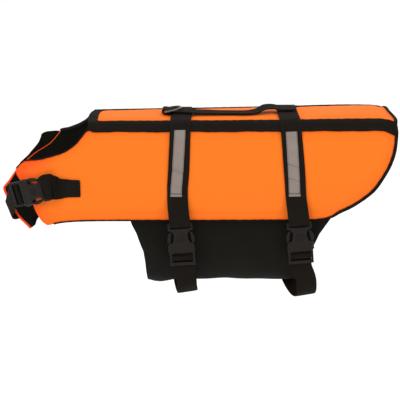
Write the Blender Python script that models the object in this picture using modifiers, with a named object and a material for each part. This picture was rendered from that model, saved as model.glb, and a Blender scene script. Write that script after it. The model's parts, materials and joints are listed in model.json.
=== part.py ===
"""A dog life jacket, hollow and standing filled out as it is worn.

The jacket runs along X with the neck at -X. Its left side is at -Y and its back is up.
Every cloth wall is worked out on one worn form. A place on the form is (s, h): s is the
distance from the middle of the jacket toward the neck, and h is the distance down the side
from the spine. A lift moves the place along the outward normal. Sizes are in millimetres
and are turned into metres when a mesh is made.
"""
import bpy
import bmesh
import numpy as np
from math import radians
from mathutils import Matrix, Vector

# ---------------------------------------------------------------- sizes, mm
MM = 0.001
GAP = 0.3                      # clearance between neighbouring pieces

BACK_HALF = 49.8               # half width of the back panel, spine to side seam
SPINE_Z = 5.0                  # height of the form at the spine, before the crest
NOSE_START = 195.0             # s where the chest starts to curve round
NOSE_RADIUS = 87.0             # arc length per radian of that curve
REAR_END = -201.8              # s of the rear end
NECK_END = 184.0               # s where the neck cut crosses the side seam
NECK_BULGE = 3.0               # how far the back's neck edge bows past that

FULL_OUT = 0.0                 # lift of a panel's full outer face
EDGE_OUT = -2.3                # lift of a panel's outer face at its sewn edge
PANEL_IN = -5.5                # lift of a panel's inner face
LINING_OUT = PANEL_IN - GAP
LINING_IN = LINING_OUT - 1.2
EDGE_FLAT = 6.0                # width of the flat margin at a bound edge
SEAM_FLAT = 11.5               # width of the flat margin at a taped side seam
EDGE_RISE = 12.0               # width over which the foam rises from it

TAPE_LOW = EDGE_OUT + GAP      # seam tape over the side seam
TAPE_HIGH = TAPE_LOW + 1.6
TAPE_TOP_H = 40.0
TAPE_BOTTOM_H = 60.0
TAPE_TURN = 4.5                # how far the tape turns down at the rear binding
WEB = 1.6                      # thickness of webbing
STRAP_LOW = 0.5
STRAP_HIGH = STRAP_LOW + WEB
STRAP_WIDTH = 25.0
STRIP_WIDTH = 13.5
STRIP_LOW = STRAP_HIGH + GAP
STRIP_HIGH = STRIP_LOW + 0.6

REAR_LEG = 3.0                 # how far the rear binding reaches over each face
HEM_LEG = 0.7                  # the same for the narrow bindings of the neck and the hems
BIND_WALL = 0.8
BIND_GAP = 0.5                 # clearance between a binding and the edge it wraps

# section of the form: direction of the wall at each distance from the spine
SECTION = [  # (h, degrees below level)
    (0, 0), (40, 6), (60, 62), (140, 92), (174, 96), (240, 97)]
# fullness of the form along its length
FULLNESS = [  # (x, factor)
    (-195, 0.95), (-120, 0.99), (-20, 1.02), (80, 1.03), (160, 1.01), (204, 0.97)]
# how much farther out the shoulders lie along the length, down to SHOULDER_H and then less
# and less down to FLANK_H
SHOULDER_H = 70.0
FLANK_H = 140.0
BROAD = [  # (x, mm)
    (-195, 0), (-100, 0.8), (0, 2.5), (100, 4.5), (204, 5.5)]
# height of the spine along its length
CREST = [  # (x, rise)
    (-195, -0.5), (-120, 0.5), (0, 2.0), (100, 4.0), (160, 5.2), (204, 4.2)]
# how far the chest reaches ahead of NOSE_START, on each side
NOSE_LEFT = [  # (z, reach)
    (-175, 62), (-150, 78), (-133, 88), (-115, 97), (-100, 103), (-90, 104.5),
    (-75, 102), (-63, 97), (-50, 90), (-35, 78), (-20, 66), (10, 50)]
NOSE_RIGHT = [  # (z, reach)
    (-180, 74), (-160, 82), (-150, 88.5), (-140, 97.5), (-128, 104), (-112, 110),
    (-96, 113.8), (-88, 111.3), (-76, 111), (-64, 109.5), (-32, 101.5), (-14, 92), (6, 80)]

# ---------------------------------------------------------------- curves


def spline(table, at):
    """Natural cubic through a table of (place, value), held level past its ends."""
    xs, ys = np.array(table, float).T
    n = len(xs)
    h = np.diff(xs)
    a = np.eye(n)
    r = np.zeros(n)
    for i in range(1, n - 1):
        a[i, i - 1] = h[i - 1]
        a[i, i] = 2 * (h[i - 1] + h[i])
        a[i, i + 1] = h[i]
        r[i] = 6 * ((ys[i + 1] - ys[i]) / h[i] - (ys[i] - ys[i - 1]) / h[i - 1])
    m = np.linalg.solve(a, r)
    x = np.clip(np.asarray(at, float), xs[0], xs[-1])
    i = np.clip(np.searchsorted(xs, x) - 1, 0, n - 2)
    p = xs[i + 1] - x
    q = x - xs[i]
    w = h[i]
    bend = m[i] * p ** 3 / (6 * w) + m[i + 1] * q ** 3 / (6 * w)
    return bend + (ys[i] / w - m[i] * w / 6) * p + (ys[i + 1] / w - m[i + 1] * w / 6) * q


def section_curves():
    """Reach out from the spine plane and drop below it, against distance from the spine."""
    step = np.linspace(0, 240, 2401)
    hs, degrees = np.array(SECTION, float).T
    slope = np.radians(np.interp(step, hs, degrees))

    def total(f):
        return np.concatenate([[0], np.cumsum((f[1:] + f[:-1]) / 2 * np.diff(step))])
    return step, total(np.cos(slope)), total(np.sin(slope))


STEP, OUT, DOWN = section_curves()
WIDEST = OUT.max()


def form(side, s, h):
    """Point of the worn form. side is -1 for the left and 1 for the right."""
    s = np.asarray(s, float)
    h = np.asarray(h, float)
    x = -np.minimum(s, NOSE_START)
    full = spline(FULLNESS, x)
    fall = (h - SHOULDER_H) / (FLANK_H - SHOULDER_H)
    fade = np.clip(h / TAPE_TOP_H, 0, 1) * (1 - np.clip(fall, 0, 1))
    broad = spline(BROAD, x) * fade
    z = SPINE_Z + spline(CREST, x) - np.interp(h - broad, STEP, DOWN)
    out = (np.interp(h - broad, STEP, OUT) + broad) * full
    turn = np.maximum(s - NOSE_START, 0) / NOSE_RADIUS
    reach = spline(NOSE_LEFT if side < 0 else NOSE_RIGHT, z)
    reach = reach - (WIDEST * full - out)
    px = np.where(turn > 0, -NOSE_START - reach * np.sin(turn), x)
    py = np.where(turn > 0, out * np.cos(turn), out)
    return np.stack([px, side * py, z], -1)


def skin(side, s, h, lift):
    """Point of the form moved out by lift along its normal."""
    s = np.asarray(s, float)
    h = np.asarray(h, float)
    d = 1.5
    ds = form(side, s + d, h) - form(side, s - d, h)
    low = np.maximum(h - d, 0)
    dh = form(side, s, h + d) - form(side, s, low)
    n = side * np.cross(dh, ds)
    n = n / np.linalg.norm(n, axis=-1, keepdims=True)
    return form(side, s, h) + n * np.asarray(lift, float)[..., None]


def over(s, across, lift):
    """Point on the form where across runs from the left (-) over the spine to the right (+)."""
    across = np.asarray(across, float)
    s = np.broadcast_to(np.asarray(s, float), across.shape)
    lift = np.broadcast_to(np.asarray(lift, float), across.shape)
    left = skin(-1, s, np.abs(across), lift)
    right = skin(1, s, np.abs(across), lift)
    return np.where((across < 0)[..., None], left, right)


def resample(line, places):
    """Points of a polyline at the given fractions of its length."""
    line = np.asarray(line, float)
    run = np.concatenate([[0], np.cumsum(np.linalg.norm(np.diff(line, axis=0), axis=1))])
    want = np.asarray(places) * run[-1]
    return np.stack([np.interp(want, run, line[:, k]) for k in range(line.shape[1])], -1)


def smooth(line, count=12, hold=()):
    """Catmull-Rom curve through a short line of points. Points in hold stay sharp."""
    p = np.asarray(line, float)
    out = []
    for i in range(len(p) - 1):
        a = p[i - 1] if i > 0 and i not in hold else p[i]
        d = p[i + 2] if i + 2 < len(p) and i + 1 not in hold else p[i + 1]
        b = p[i]
        c = p[i + 1]
        for t in np.linspace(0, 1, count, endpoint=False):
            out.append(0.5 * (2 * b + (c - a) * t + (2 * a - 5 * b + 4 * c - d) * t * t
                              + (3 * b - a - 3 * c + d) * t ** 3))
    out.append(p[-1])
    return np.array(out)


# ---------------------------------------------------------------- outlines in (s, h)
SEAM_H = BACK_HALF + GAP       # the side panel starts just below the back panel
# how much lower the side seam runs toward the rear
FLARE = [  # (s, mm)
    (-204, 8.0), (-140, 7.0), (-60, 4.6), (40, 2.0), (120, 0.6), (184, 0)]


def flare(s):
    """Drop of the side seam at s, below its height at the neck."""
    return spline(FLARE, s)


LEFT_NECK = [(184, SEAM_H), (186.1, 57.0), (190.4, 62.7), (195.0, 69.0), (203.1, 75.7),
             (211.4, 81.0), (223.0, 87.7), (241.9, 93.9), (256.7, 98.4), (275.0, 101.8),
             (288.5, 105.0), (297.0, 116.0)]
LEFT_FRONT = [(297.0, 116.0), (290, 121.5), (274.9, 128.7), (261, 142.0), (255, 156),
              (254, 169), (251, 180), (244.5, 185)]
LEFT_HEM = [(244.5, 185), (238, 183.6), (227, 179.7), (209, 176.4), (184, 175.1),
            (131, 174.9), (60, 175.3), (0, 175.7), (-60, 176.2), (-99, 176.6),
            (-118, 174.8), (-130.2, 168.4), (-145.1, 161.2), (-159.2, 151.8)]
LEFT_REAR = [(-159.2, 151.8), (-173.6, 138.8), (-187.5, 117.5), (-193.7, 104.4),
             (-197.5, 91.6), (-199.9, 72.3), (-201.1, 60), (REAR_END, SEAM_H + flare(REAR_END))]
RIGHT_NECK = [(184, SEAM_H), (187.5, 54.5), (192.5, 60.0), (198.5, 65.7), (208.7, 72.2),
              (221.8, 77.7), (232.5, 79.8), (236.2, 87.0), (242.2, 97.6), (251.4, 104.9),
              (260, 110.0), (272.6, 119.5), (286.4, 130.0), (306.9, 143.3), (321, 148.9)]
RIGHT_FRONT = [(321, 148.9), (319.7, 162.0), (318.6, 176.1), (319.6, 191.3), (322, 209)]
RIGHT_HEM = [(322, 209), (309, 208), (295.4, 204.3), (277.4, 198.9), (260, 190.5),
             (244, 183), (225, 178.2), (204, 175.8), (184, 175.1), (131, 174.9),
             (60, 175.3), (0, 175.7), (-60, 176.2), (-99, 176.6), (-118, 174.8),
             (-130.2, 168.4), (-145.1, 161.2), (-159.2, 151.8)]
# the black neck facing that stands past the right panel's neck edge
FACING_INNER = [(234.6, 81.8), (237.6, 87.5), (243.1, 96.9), (252.0, 104.1), (260.7, 109.2),
                (273.4, 118.7), (280.0, 124.0)]
FACING_OUTER = [(243.0, 80.5), (253.5, 81.2), (259.2, 84.5), (258.6, 89.8), (260.5, 99.5),
                (269.8, 112.8), (282.0, 123.3)]


def outline(side):
    """The edges of a side panel: seam, neck, front, hem and rear."""
    neck, front, hem = ((LEFT_NECK, LEFT_FRONT, LEFT_HEM) if side < 0
                        else (RIGHT_NECK, RIGHT_FRONT, RIGHT_HEM))
    s = np.linspace(REAR_END, NECK_END, 40)
    seam = np.stack([s, SEAM_H + flare(s)], 1)
    return seam, smooth(neck), smooth(front), smooth(hem), smooth(LEFT_REAR)


def patch(top, front, hem, rear, us, vs):
    """Grid filled between four edges. top runs rear to front, rear runs up."""
    t = resample(top, us)
    b = resample(hem[::-1], us)
    left = resample(rear[::-1], vs)
    right = resample(front, vs)
    u = np.asarray(us)[:, None, None]
    v = np.asarray(vs)[None, :, None]
    corners = ((1 - u) * (1 - v) * t[0] + u * (1 - v) * t[-1]
               + (1 - u) * v * b[0] + u * v * b[-1])
    return ((1 - v) * t[:, None] + v * b[:, None] + (1 - u) * left[None]
            + u * right[None] - corners)


def length_of(line):
    """Length of a polyline."""
    return np.linalg.norm(np.diff(np.asarray(line, float), axis=0), axis=1).sum()


def spaced(length, counts, breaks=()):
    """Fractions from 0 to 1 with close lines by each end, even ones between the breaks."""
    near = EDGE_FLAT / length
    next_in = (EDGE_FLAT + 11.0) / length
    stops = [next_in, *breaks, 1 - next_in]
    inner = [np.linspace(a, b, n + 1)[1:] for a, b, n in zip(stops, stops[1:], counts)]
    return np.concatenate([[0.0, near, next_in], *inner, [1 - near, 1.0]])


def edge_distance(points, edges):
    """Distance from each (s, h) point to the nearest edge."""
    line = np.vstack(edges)
    a = line[:-1]
    ab = np.diff(line, axis=0)
    keep = (ab ** 2).sum(1) > 1e-9
    a = a[keep]
    ab = ab[keep]
    p = points.reshape(-1, 2)
    t = ((p[:, None] - a) * ab).sum(2) / (ab ** 2).sum(1)
    d = np.linalg.norm(p[:, None] - a - np.clip(t, 0, 1)[..., None] * ab, axis=2).min(1)
    return d.reshape(points.shape[:-1])


def puff(distance, flat):
    """Lift of a panel's outer face at a distance from its edge."""
    t = np.clip((distance - flat) / EDGE_RISE, 0, 1)
    return EDGE_OUT + (FULL_OUT - EDGE_OUT) * t * t * (3 - 2 * t)


# ---------------------------------------------------------------- meshes


def material(name, color, roughness, metallic=0.0):
    """Plain Principled material."""
    mat = bpy.data.materials.new(name)
    mat.use_nodes = True
    node = mat.node_tree.nodes["Principled BSDF"]
    node.inputs["Base Color"].default_value = (*color, 1.0)
    node.inputs["Roughness"].default_value = roughness
    node.inputs["Metallic"].default_value = metallic
    mat.diffuse_color = (*color, 1.0)
    return mat


ORANGE = (0.99, 0.22, 0.03)
BLACK_CLOTH = (0.012, 0.010, 0.008)
BLACK_WEB = (0.020, 0.017, 0.014)
BLACK_PLASTIC = (0.028, 0.025, 0.022)
SILVER = (0.42, 0.40, 0.38)
STEEL = (0.62, 0.62, 0.63)


def collection(name):
    """New collection in the scene."""
    made = bpy.data.collections.new(name)
    bpy.context.scene.collection.children.link(made)
    return made


def add_mesh(name, verts, faces, mat, into):
    """Mesh object from points in millimetres, with its faces turned outward."""
    mesh = bpy.data.meshes.new(name)
    mesh.from_pydata([tuple(v) for v in np.asarray(verts) * MM], [], faces)
    bm = bmesh.new()
    bm.from_mesh(mesh)
    bmesh.ops.recalc_face_normals(bm, faces=bm.faces)
    bm.to_mesh(mesh)
    bm.free()
    mesh.materials.append(mat)
    obj = bpy.data.objects.new(name, mesh)
    into.objects.link(obj)
    for polygon in mesh.polygons:
        polygon.use_smooth = True
    return obj


def wall(name, outer, inner, mat, into):
    """Closed wall between two grids of points of the same shape."""
    n, m = outer.shape[:2]
    verts = np.vstack([outer.reshape(-1, 3), inner.reshape(-1, 3)])
    half = n * m

    def at(i, j):
        return i * m + j
    faces = []
    for i in range(n - 1):
        for j in range(m - 1):
            a, b, c, d = at(i, j), at(i + 1, j), at(i + 1, j + 1), at(i, j + 1)
            faces += [(a, b, c), (a, c, d)]
            faces += [(half + c, half + b, half + a), (half + d, half + c, half + a)]
    rim = ([at(i, 0) for i in range(n)] + [at(n - 1, j) for j in range(1, m)]
           + [at(i, m - 1) for i in range(n - 2, -1, -1)]
           + [at(0, j) for j in range(m - 2, 0, -1)])
    for a, b in zip(rim, rim[1:] + rim[:1]):
        faces.append((b, a, half + a, half + b))
    return add_mesh(name, verts, faces, mat, into)


def loft(name, rings, mat, into, closed=False):
    """Closed band through rings of points, capped at its ends or joined up."""
    n, m = rings.shape[:2]
    faces = []
    last = n if closed else n - 1
    for i in range(last):
        k = (i + 1) % n
        for j in range(m):
            e = (j + 1) % m
            faces.append((i * m + j, i * m + e, k * m + e, k * m + j))
    if not closed:
        faces.append(tuple(range(m - 1, -1, -1)))
        faces.append(tuple((n - 1) * m + j for j in range(m)))
    return add_mesh(name, rings.reshape(-1, 3), faces, mat, into)


def ribbon(path, across, thick, width, columns=2):
    """Inner and outer grid of a flat band. across is its width direction at each point."""
    path = np.asarray(path, float)
    along = np.gradient(path, axis=0)
    along /= np.linalg.norm(along, axis=1, keepdims=True)
    across = np.broadcast_to(np.asarray(across, float), path.shape)
    across = across - (across * along).sum(1, keepdims=True) * along
    across = across / np.linalg.norm(across, axis=1, keepdims=True)
    out = np.cross(along, across) * thick / 2
    width = np.broadcast_to(np.asarray(width, float), len(path))
    step = np.linspace(-0.5, 0.5, columns)[None, :, None] * width[:, None, None]
    middle = path[:, None] + across[:, None] * step
    return middle - out[:, None], middle + out[:, None]


# ---------------------------------------------------------------- panels


def side_grid(side):
    """Grid of (s, h) for a side panel, with its lift, dense where the form turns."""
    seam, neck, front, hem, rear = outline(side)
    top = np.vstack([seam[:-1], neck])
    us = spaced(length_of(top), (13, 11), [length_of(seam) / length_of(top)])
    vs = np.array([0, 0.045, 0.10, 0.19, 0.32, 0.5, 0.70, 0.865, 0.95, 1.0])
    grid = patch(top, front, hem, rear, us, vs)
    lift = puff(edge_distance(grid, [top, front, hem, rear]), EDGE_FLAT)
    lift = np.minimum(lift, puff(edge_distance(grid, [seam]), SEAM_FLAT))
    return grid, lift


def side_panel(side, name, lining_name, mats, into):
    """Foam side panel and the lining behind it."""
    grid, lift = side_grid(side)
    s, h = grid[..., 0], grid[..., 1]
    flat = np.full(s.shape, PANEL_IN)
    wall(name, skin(side, s, h, lift), skin(side, s, h, flat), mats["orange"], into)
    wall(lining_name, skin(side, s, h, np.full(s.shape, LINING_OUT)),
         skin(side, s, h, np.full(s.shape, LINING_IN)), mats["lining"], into)


def back_grid():
    """Grid of (s, across) for the back panel, with its lift."""
    length = NECK_END - REAR_END
    us = spaced(length, (13,))
    vs = np.array([-1, -0.87, -0.75, -0.55, 0, 0.55, 0.75, 0.87, 1.0])
    bulge = NECK_BULGE * us[:, None] * (1 - vs[None] ** 2)
    s = REAR_END + us[:, None] * length + bulge
    half = BACK_HALF + flare(s)
    across = half * vs[None]
    ends = length * np.minimum(us, 1 - us)[:, None]
    lift = np.minimum(puff((1 - np.abs(vs[None])) * half, SEAM_FLAT), puff(ends, EDGE_FLAT))
    return s, across, lift


def back_panel(mats, into):
    """Foam back panel and the lining behind it."""
    s, across, lift = back_grid()
    flat = np.full(s.shape, PANEL_IN)
    wall("back_panel", over(s, across, lift), over(s, across, flat), mats["orange"], into)
    wall("back_lining", over(s, across, np.full(s.shape, LINING_OUT)),
         over(s, across, np.full(s.shape, LINING_IN)), mats["lining"], into)


BELLY_TOP_Z = -107.5
BELLY_DROP = 111.0
BELLY_TUCK = 9.3               # how far inside the hem's outer face the belly panel hangs
BELLY_WALL = 2.6
BELLY_DROOP = 3.6              # how much lower the panel hangs behind its front edge
BELLY_SAG = [  # (x, share of that)
    (-116, 0), (-111, 0.45), (-105, 0.9), (-97, 1.0), (-89, 0.6), (-82, 0.15), (-77, 0)]
# front and rear edge of the belly panel against the turn round the belly, in degrees
BELLY_EDGES = [  # (turn, front x, rear x)
    (0, -138.5, 127), (5, -134.5, 120), (11, -130.8, 112.5), (17, -125.5, 105.5),
    (26.5, -120.4, 99), (43, -115.3, 92.5), (62, -114.3, 85.5), (90, -113.5, 81)]


def belly_point(x, turn, inset):
    """Point of the belly at a turn in degrees from the left top (-90) to the right (90)."""
    a = np.radians(turn)
    droop = BELLY_DROOP * np.interp(x, *np.array(BELLY_SAG).T) * np.cos(a)
    half = np.interp(174, STEP, OUT) * spline(FULLNESS, x) - BELLY_TUCK
    y = (half - inset) * np.sin(a)
    z = BELLY_TOP_Z - (BELLY_DROP - inset + droop) * np.cos(a)
    return np.stack([x + 0 * y, y, z], -1)


def belly_panel(mats, into):
    """Thin panel under the belly, sewn inside both hems."""
    turn = np.linspace(-90, 90, 23)
    ups = 90 - np.abs(turn)
    deg, front, rear = np.array(BELLY_EDGES, float).T
    fx = np.interp(ups, deg, front)
    rx = np.interp(ups, deg, rear)
    u = np.linspace(0, 1, 12)[:, None]
    x = fx[None] * (1 - u) + rx[None] * u
    t = np.broadcast_to(turn[None], x.shape)
    wall("belly_panel", belly_point(x, t, 0.0), belly_point(x, t, BELLY_WALL),
         mats["lining"], into)


# ---------------------------------------------------------------- trims on the panels


def seam_tape(side, name, mats, into):
    """Webbing tape sewn flat over a side seam."""
    rear = outline(side)[-1][::-1]
    width = np.linspace(TAPE_TOP_H, TAPE_BOTTOM_H, 5)[None]
    start = np.interp(width + flare(REAR_END) + TAPE_TURN, rear[:, 1], rear[:, 0])
    start = start + REAR_LEG + 4 * GAP
    t = np.concatenate([[0, 0.25, 0.5, 0.75], np.linspace(1, 15, 17)])[:, None] / 15
    s = start + t * (NECK_END - HEM_LEG - 2 * GAP - start)
    turned = TAPE_TURN * np.clip(1 - 15 * t, 0, 1) ** 2
    h = width + flare(s) + turned
    low = skin(side, s, h, np.full(s.shape, TAPE_LOW))
    high = skin(side, s, h, np.full(s.shape, TAPE_HIGH))
    wall(name, high, low, mats["web"], into)


def binding_rings(side_of, sh, inward, leg):
    """C-shaped rings round an edge. sh is the edge, inward points into the panel."""
    out_low = EDGE_OUT + BIND_GAP
    out_high = out_low + BIND_WALL
    in_high = LINING_IN - BIND_GAP
    in_low = in_high - BIND_WALL
    profile = [  # (reach into the panel, lift)
        (leg, out_low), (leg, out_high), (-BIND_GAP - BIND_WALL, out_high),
        (-BIND_GAP - BIND_WALL, in_low), (leg, in_low), (leg, in_high),
        (-BIND_GAP, in_high), (-BIND_GAP, out_low)]
    rings = []
    for reach, lift in profile:
        p = sh + inward * reach
        rings.append(side_of(p[:, 0], p[:, 1], np.full(len(p), lift)))
    return np.stack(rings, 1)


HEM_BREAK = 3                  # grid column where the rear binding meets the hem binding
NECK_COLUMN = 15               # grid column where the neck cut starts


def inward_of(sh, sign):
    """Unit direction square to an edge, in (s, h)."""
    along = np.gradient(sh, axis=0)
    along /= np.linalg.norm(along, axis=1, keepdims=True)
    return sign * np.stack([-along[:, 1], along[:, 0]], 1)


def mirrored(line):
    """The same line of (s, h) on the left side, as (s, across)."""
    return np.stack([line[:, 0], -line[:, 1]], 1)


def back_end(front):
    """Edge of the back panel at its neck end or its rear end, from left to right."""
    s, across, _ = back_grid()
    row = -1 if front else 0
    return np.stack([s[row], across[row]], 1)[1:-1]


def bindings(mats, into):
    """Webbing bindings round the rear edge, the neck, and each hem with its front edge."""
    left = side_grid(-1)[0]
    right = side_grid(1)[0]
    turn = HEM_BREAK
    rear = np.vstack([mirrored(left[turn:0:-1, -1]), mirrored(left[0, ::-1]), back_end(False),
                      right[0], right[1:turn + 1, -1]])
    rings = binding_rings(over, rear, inward_of(rear, -1), REAR_LEG)
    loft("rear_binding", rings, mats["web"], into)
    first = NECK_COLUMN
    neck = np.vstack([mirrored(left[:first - 1:-1, 0]), back_end(True),
                      right[first:first + 5, 0]])
    rings = binding_rings(over, neck, inward_of(neck, 1), HEM_LEG)
    loft("neck_binding", rings, mats["web"], into)
    for side, grid, name in ((-1, left, "hem_binding_left"), (1, right, "hem_binding_right")):
        start = grid[turn, -1] * 0.85 + grid[turn + 1, -1] * 0.15
        line = np.vstack([start, grid[turn + 1:, -1]])
        rings = binding_rings(lambda s, h, lift: skin(side, s, h, lift), line,
                              inward_of(line, -1), HEM_LEG)
        loft(name, rings, mats["web"], into)


def neck_facing(mats, into):
    """Black facing past the right panel's neck edge, with a round upper corner."""
    us = np.linspace(0, 1, 14)
    inner = resample(smooth(FACING_INNER), us)
    outer = resample(smooth(FACING_OUTER), us)
    v = np.linspace(0, 1, 4)[None, :, None]
    grid = inner[:, None] * (1 - v) + outer[:, None] * v
    s, h = grid[..., 0], grid[..., 1]
    wall("neck_facing_right", skin(1, s, h, np.full(s.shape, EDGE_OUT)),
         skin(1, s, h, np.full(s.shape, EDGE_OUT - 1.6)), mats["lining"], into)


# ---------------------------------------------------------------- straps and buckles
FORM_MID = (STRAP_LOW + STRAP_HIGH) / 2
BUCKLE_LIFT = 4.1              # lift of a girth buckle's bar over the hem
BUCKLE_TOP_H = 178.6           # where the bar of a girth buckle lies, below the spine

# centre of each girth strap along its run over the body: (across, s)
FRONT_STRAP = [(-174, 71.2), (-150, 73.4), (-132, 73.4), (-110, 71.8), (-80, 70.6),
               (-40, 69.5), (0, 68.6), (60, 68.8), (120, 69.0), (180, 69.0)]
REAR_STRAP = [(-174, -77.0), (-150, -74.6), (-125, -72.6), (-100, -71.0), (-60, -69.4),
              (-30, -70.2), (0, -70.8), (60, -70.0), (120, -69.4), (180, -69.0)]
# the slack strap below the left buckle: (x shift, y, z)
FRONT_SLACK = [(3.0, -65.0, -194.0), (4.5, -58.0, -209.0), (5.5, -46.0, -219.5),
               (5.0, -30.0, -227.0), (2.0, -12.0, -225.5)]
REAR_SLACK = [(5.5, -66.0, -195.0), (9.5, -59.5, -212.0), (11.5, -48.0, -223.5),
              (10.5, -32.0, -230.5), (3.5, -12.0, -226.0)]
# places across the body where a strap has a ring
STRAP_RUN = (-166, -152, -138, -125, -112, -99, -86, -73, -62, -56, -50, -44, -38, -28,
             -14, 0, 14, 28, 38, 44, 50, 56, 62, 73, 86, 99, 112, 125, 138, 152, 165, 181.5)
STRAP_RISE_H = 139.0           # below here the strap rises off the panel to its buckle
SLACK_SLANT = 0.2              # how far the slack strap's front edge hangs low
BELLY_TURNS = (2, 13, 24, 35, 46, 57, 68)   # where the strap then lies on the belly

# webbing wrapped round the bar of a female half: (along, out) from the bar's centre
FEMALE_WRAP = [(-14.0, 1.2), (-7.0, 2.4), (0.0, 3.0), (2.12, 2.12), (3.0, 0.0),
               (2.12, -2.12), (0.0, -3.0), (-5.0, -2.2), (-10.0, -0.8)]
# webbing threaded through the two slots of a male half, from behind its end bar
MALE_WRAP = [(60.0, -2.5), (52.05, -2.6), (49.65, -1.7), (48.35, 0.0), (47.05, 1.9),
             (44.75, 2.75), (42.45, 1.9), (41.5, 0.0), (40.6, -1.5), (39.0, -2.6),
             (36.5, -2.6)]


def frame_of(origin, along, width):
    """Origin with its unit directions along, across and out of a strap."""
    along = np.asarray(along, float) / np.linalg.norm(along)
    width = np.asarray(width, float)
    width = width - width @ along * along
    width /= np.linalg.norm(width)
    return np.asarray(origin, float), along, width, np.cross(width, along)


def in_frame(frame, table):
    """Points of an (along, out) table in a buckle's frame."""
    origin, along, width, out = frame
    t = np.array(table, float)
    return origin + t[:, :1] * along + t[:, 1:] * out


def girth_frame(x, x_end):
    """Frame of a girth buckle that hangs from the left hem."""
    top = skin(-1, np.array([-x]), np.array([BUCKLE_TOP_H]), np.array([BUCKLE_LIFT]))[0]
    end = np.array([x_end, -70.0, -177.5])
    return frame_of(top, end - top, (1, 0, 0))


FRONT_BUCKLE = girth_frame(-70.6, -66.8)
REAR_BUCKLE = girth_frame(78.6, 83.6)
CHEST_BUCKLE = frame_of((-237.0, -73.0, -77.0), (-0.858, 0.470, -0.24), (0.10, -0.10, 0.97))


def densify(path, step):
    """Smooth path through a line of points with about even steps."""
    curve = smooth(path, 10)
    count = max(int(round(length_of(curve) / step)), 2)
    return resample(curve, np.linspace(0, 1, count + 1))


def girth_strap(name, table, buckle, slack, mats, into):
    """Strap from the left female half over the back and under the belly to the male half."""
    across, s = np.array(table, float).T
    run = np.array(STRAP_RUN, float)
    rise = np.clip((STRAP_RISE_H + run) / (STRAP_RISE_H + run[0]), 0, 1)
    lift = FORM_MID + (BUCKLE_LIFT - 0.2) * rise
    body = over(np.interp(run, across, s), run, lift)
    wrap = in_frame(buckle, FEMALE_WRAP)
    thread = in_frame(buckle, MALE_WRAP)
    shift, y, z = np.array(slack, float).T
    end = thread[0, 0]
    right = body[-1, 0]
    t = np.linspace(0, 1, len(y) + len(BELLY_TURNS))
    x = end * (1 - t) + right * t
    loop = np.vstack([np.stack([x[:len(y)] + shift, y, z], 1),
                      belly_point(x[len(y):], np.array(BELLY_TURNS, float), -2.0)])
    path = np.vstack([wrap[::-1], body, loop[::-1], thread])
    n_wrap, n_body, n_loop = len(wrap), len(body), len(loop)
    across_dir = np.tile([1.0, 0.0, 0.0], (len(path), 1))
    across_dir[:n_wrap] = buckle[2]
    across_dir[-len(thread):] = buckle[2]
    slant = np.interp(np.arange(n_loop), [0, 2, len(y)], [0, SLACK_SLANT, 0])
    across_dir[n_wrap + n_body:n_wrap + n_body + n_loop, 2] = slant[::-1]
    wall(name, *ribbon(path, across_dir, WEB, STRAP_WIDTH), mats["web"], into)


def reflective_strip(side, name, table, mats, into):
    """Reflective band sewn on a girth strap, with its middle a little behind the strap's."""
    across, s = np.array(table, float).T
    run = np.array([r for r in STRAP_RUN if 62 <= side * r <= 138], float)
    centre = np.interp(run, across, s) + 1.5
    low = over(centre[:, None] + np.array([[STRIP_WIDTH / 2, -STRIP_WIDTH / 2]]),
               np.repeat(run[:, None], 2, 1), np.full((len(run), 2), STRIP_LOW))
    high = over(centre[:, None] + np.array([[-STRIP_WIDTH / 2, STRIP_WIDTH / 2]]),
                np.repeat(run[:, None], 2, 1), np.full((len(run), 2), STRIP_HIGH))
    loft(name, np.concatenate([low, high], 1), mats["silver"], into)


def block(name, size, bevel, into):
    """Bevelled block. size is (width low, high), (out low, high), (along low, high)."""
    bm = bmesh.new()
    bmesh.ops.create_cube(bm, size=1.0)
    low = np.array([p[0] for p in size], float)
    high = np.array([p[1] for p in size], float)
    for v in bm.verts:
        v.co = Vector((low + (np.array(v.co) + 0.5) * (high - low)) * MM)
    mesh = bpy.data.meshes.new(name)
    bm.to_mesh(mesh)
    bm.free()
    obj = bpy.data.objects.new(name, mesh)
    into.objects.link(obj)
    if bevel:
        mod = obj.modifiers.new("edges", "BEVEL")
        mod.width = bevel * MM
        mod.segments = 1
        bake(obj)
    return obj


def bake(obj):
    """Apply the modifiers of an object."""
    depsgraph = bpy.context.evaluated_depsgraph_get()
    mesh = bpy.data.meshes.new_from_object(obj.evaluated_get(depsgraph))
    obj.modifiers.clear()
    obj.data = mesh


def combine(obj, others, operation):
    """Join or cut an object with others, exactly."""
    for other in others:
        mod = obj.modifiers.new("shape", "BOOLEAN")
        mod.operation = operation
        mod.solver = "EXACT"
        mod.object = other
        bake(obj)
    for other in others:
        bpy.data.objects.remove(other, do_unlink=True)
    return obj


def female_half(into):
    """Female half of a side-release buckle, its webbing bar at the origin."""
    body = block("body", ((-15.6, 15.6), (-1.5, 1.5), (-1.5, 10.5)), 0.5, into)
    waist = block("waist", ((-11.8, 11.8), (-3.4, 4.4), (8.0, 26.0)), 0.9, into)
    mouth = block("mouth", ((-17.0, 17.0), (-4.0, 4.8), (24.5, 35.0)), 0.9, into)
    combine(body, [waist, mouth], "UNION")
    slot = block("slot", ((-13.2, 13.2), (-6, 6), (1.5, 6.6)), 0, into)
    left = block("left", ((-15.7, -12.1), (-2.0, 2.4), (20.0, 40.0)), 0, into)
    right = block("right", ((12.1, 15.7), (-2.0, 2.4), (20.0, 40.0)), 0, into)
    dish = block("dish", ((-6.5, 6.5), (3.8, 8.0), (13.0, 22.0)), 0, into)
    return combine(body, [slot, left, right, dish], "DIFFERENCE")


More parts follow.
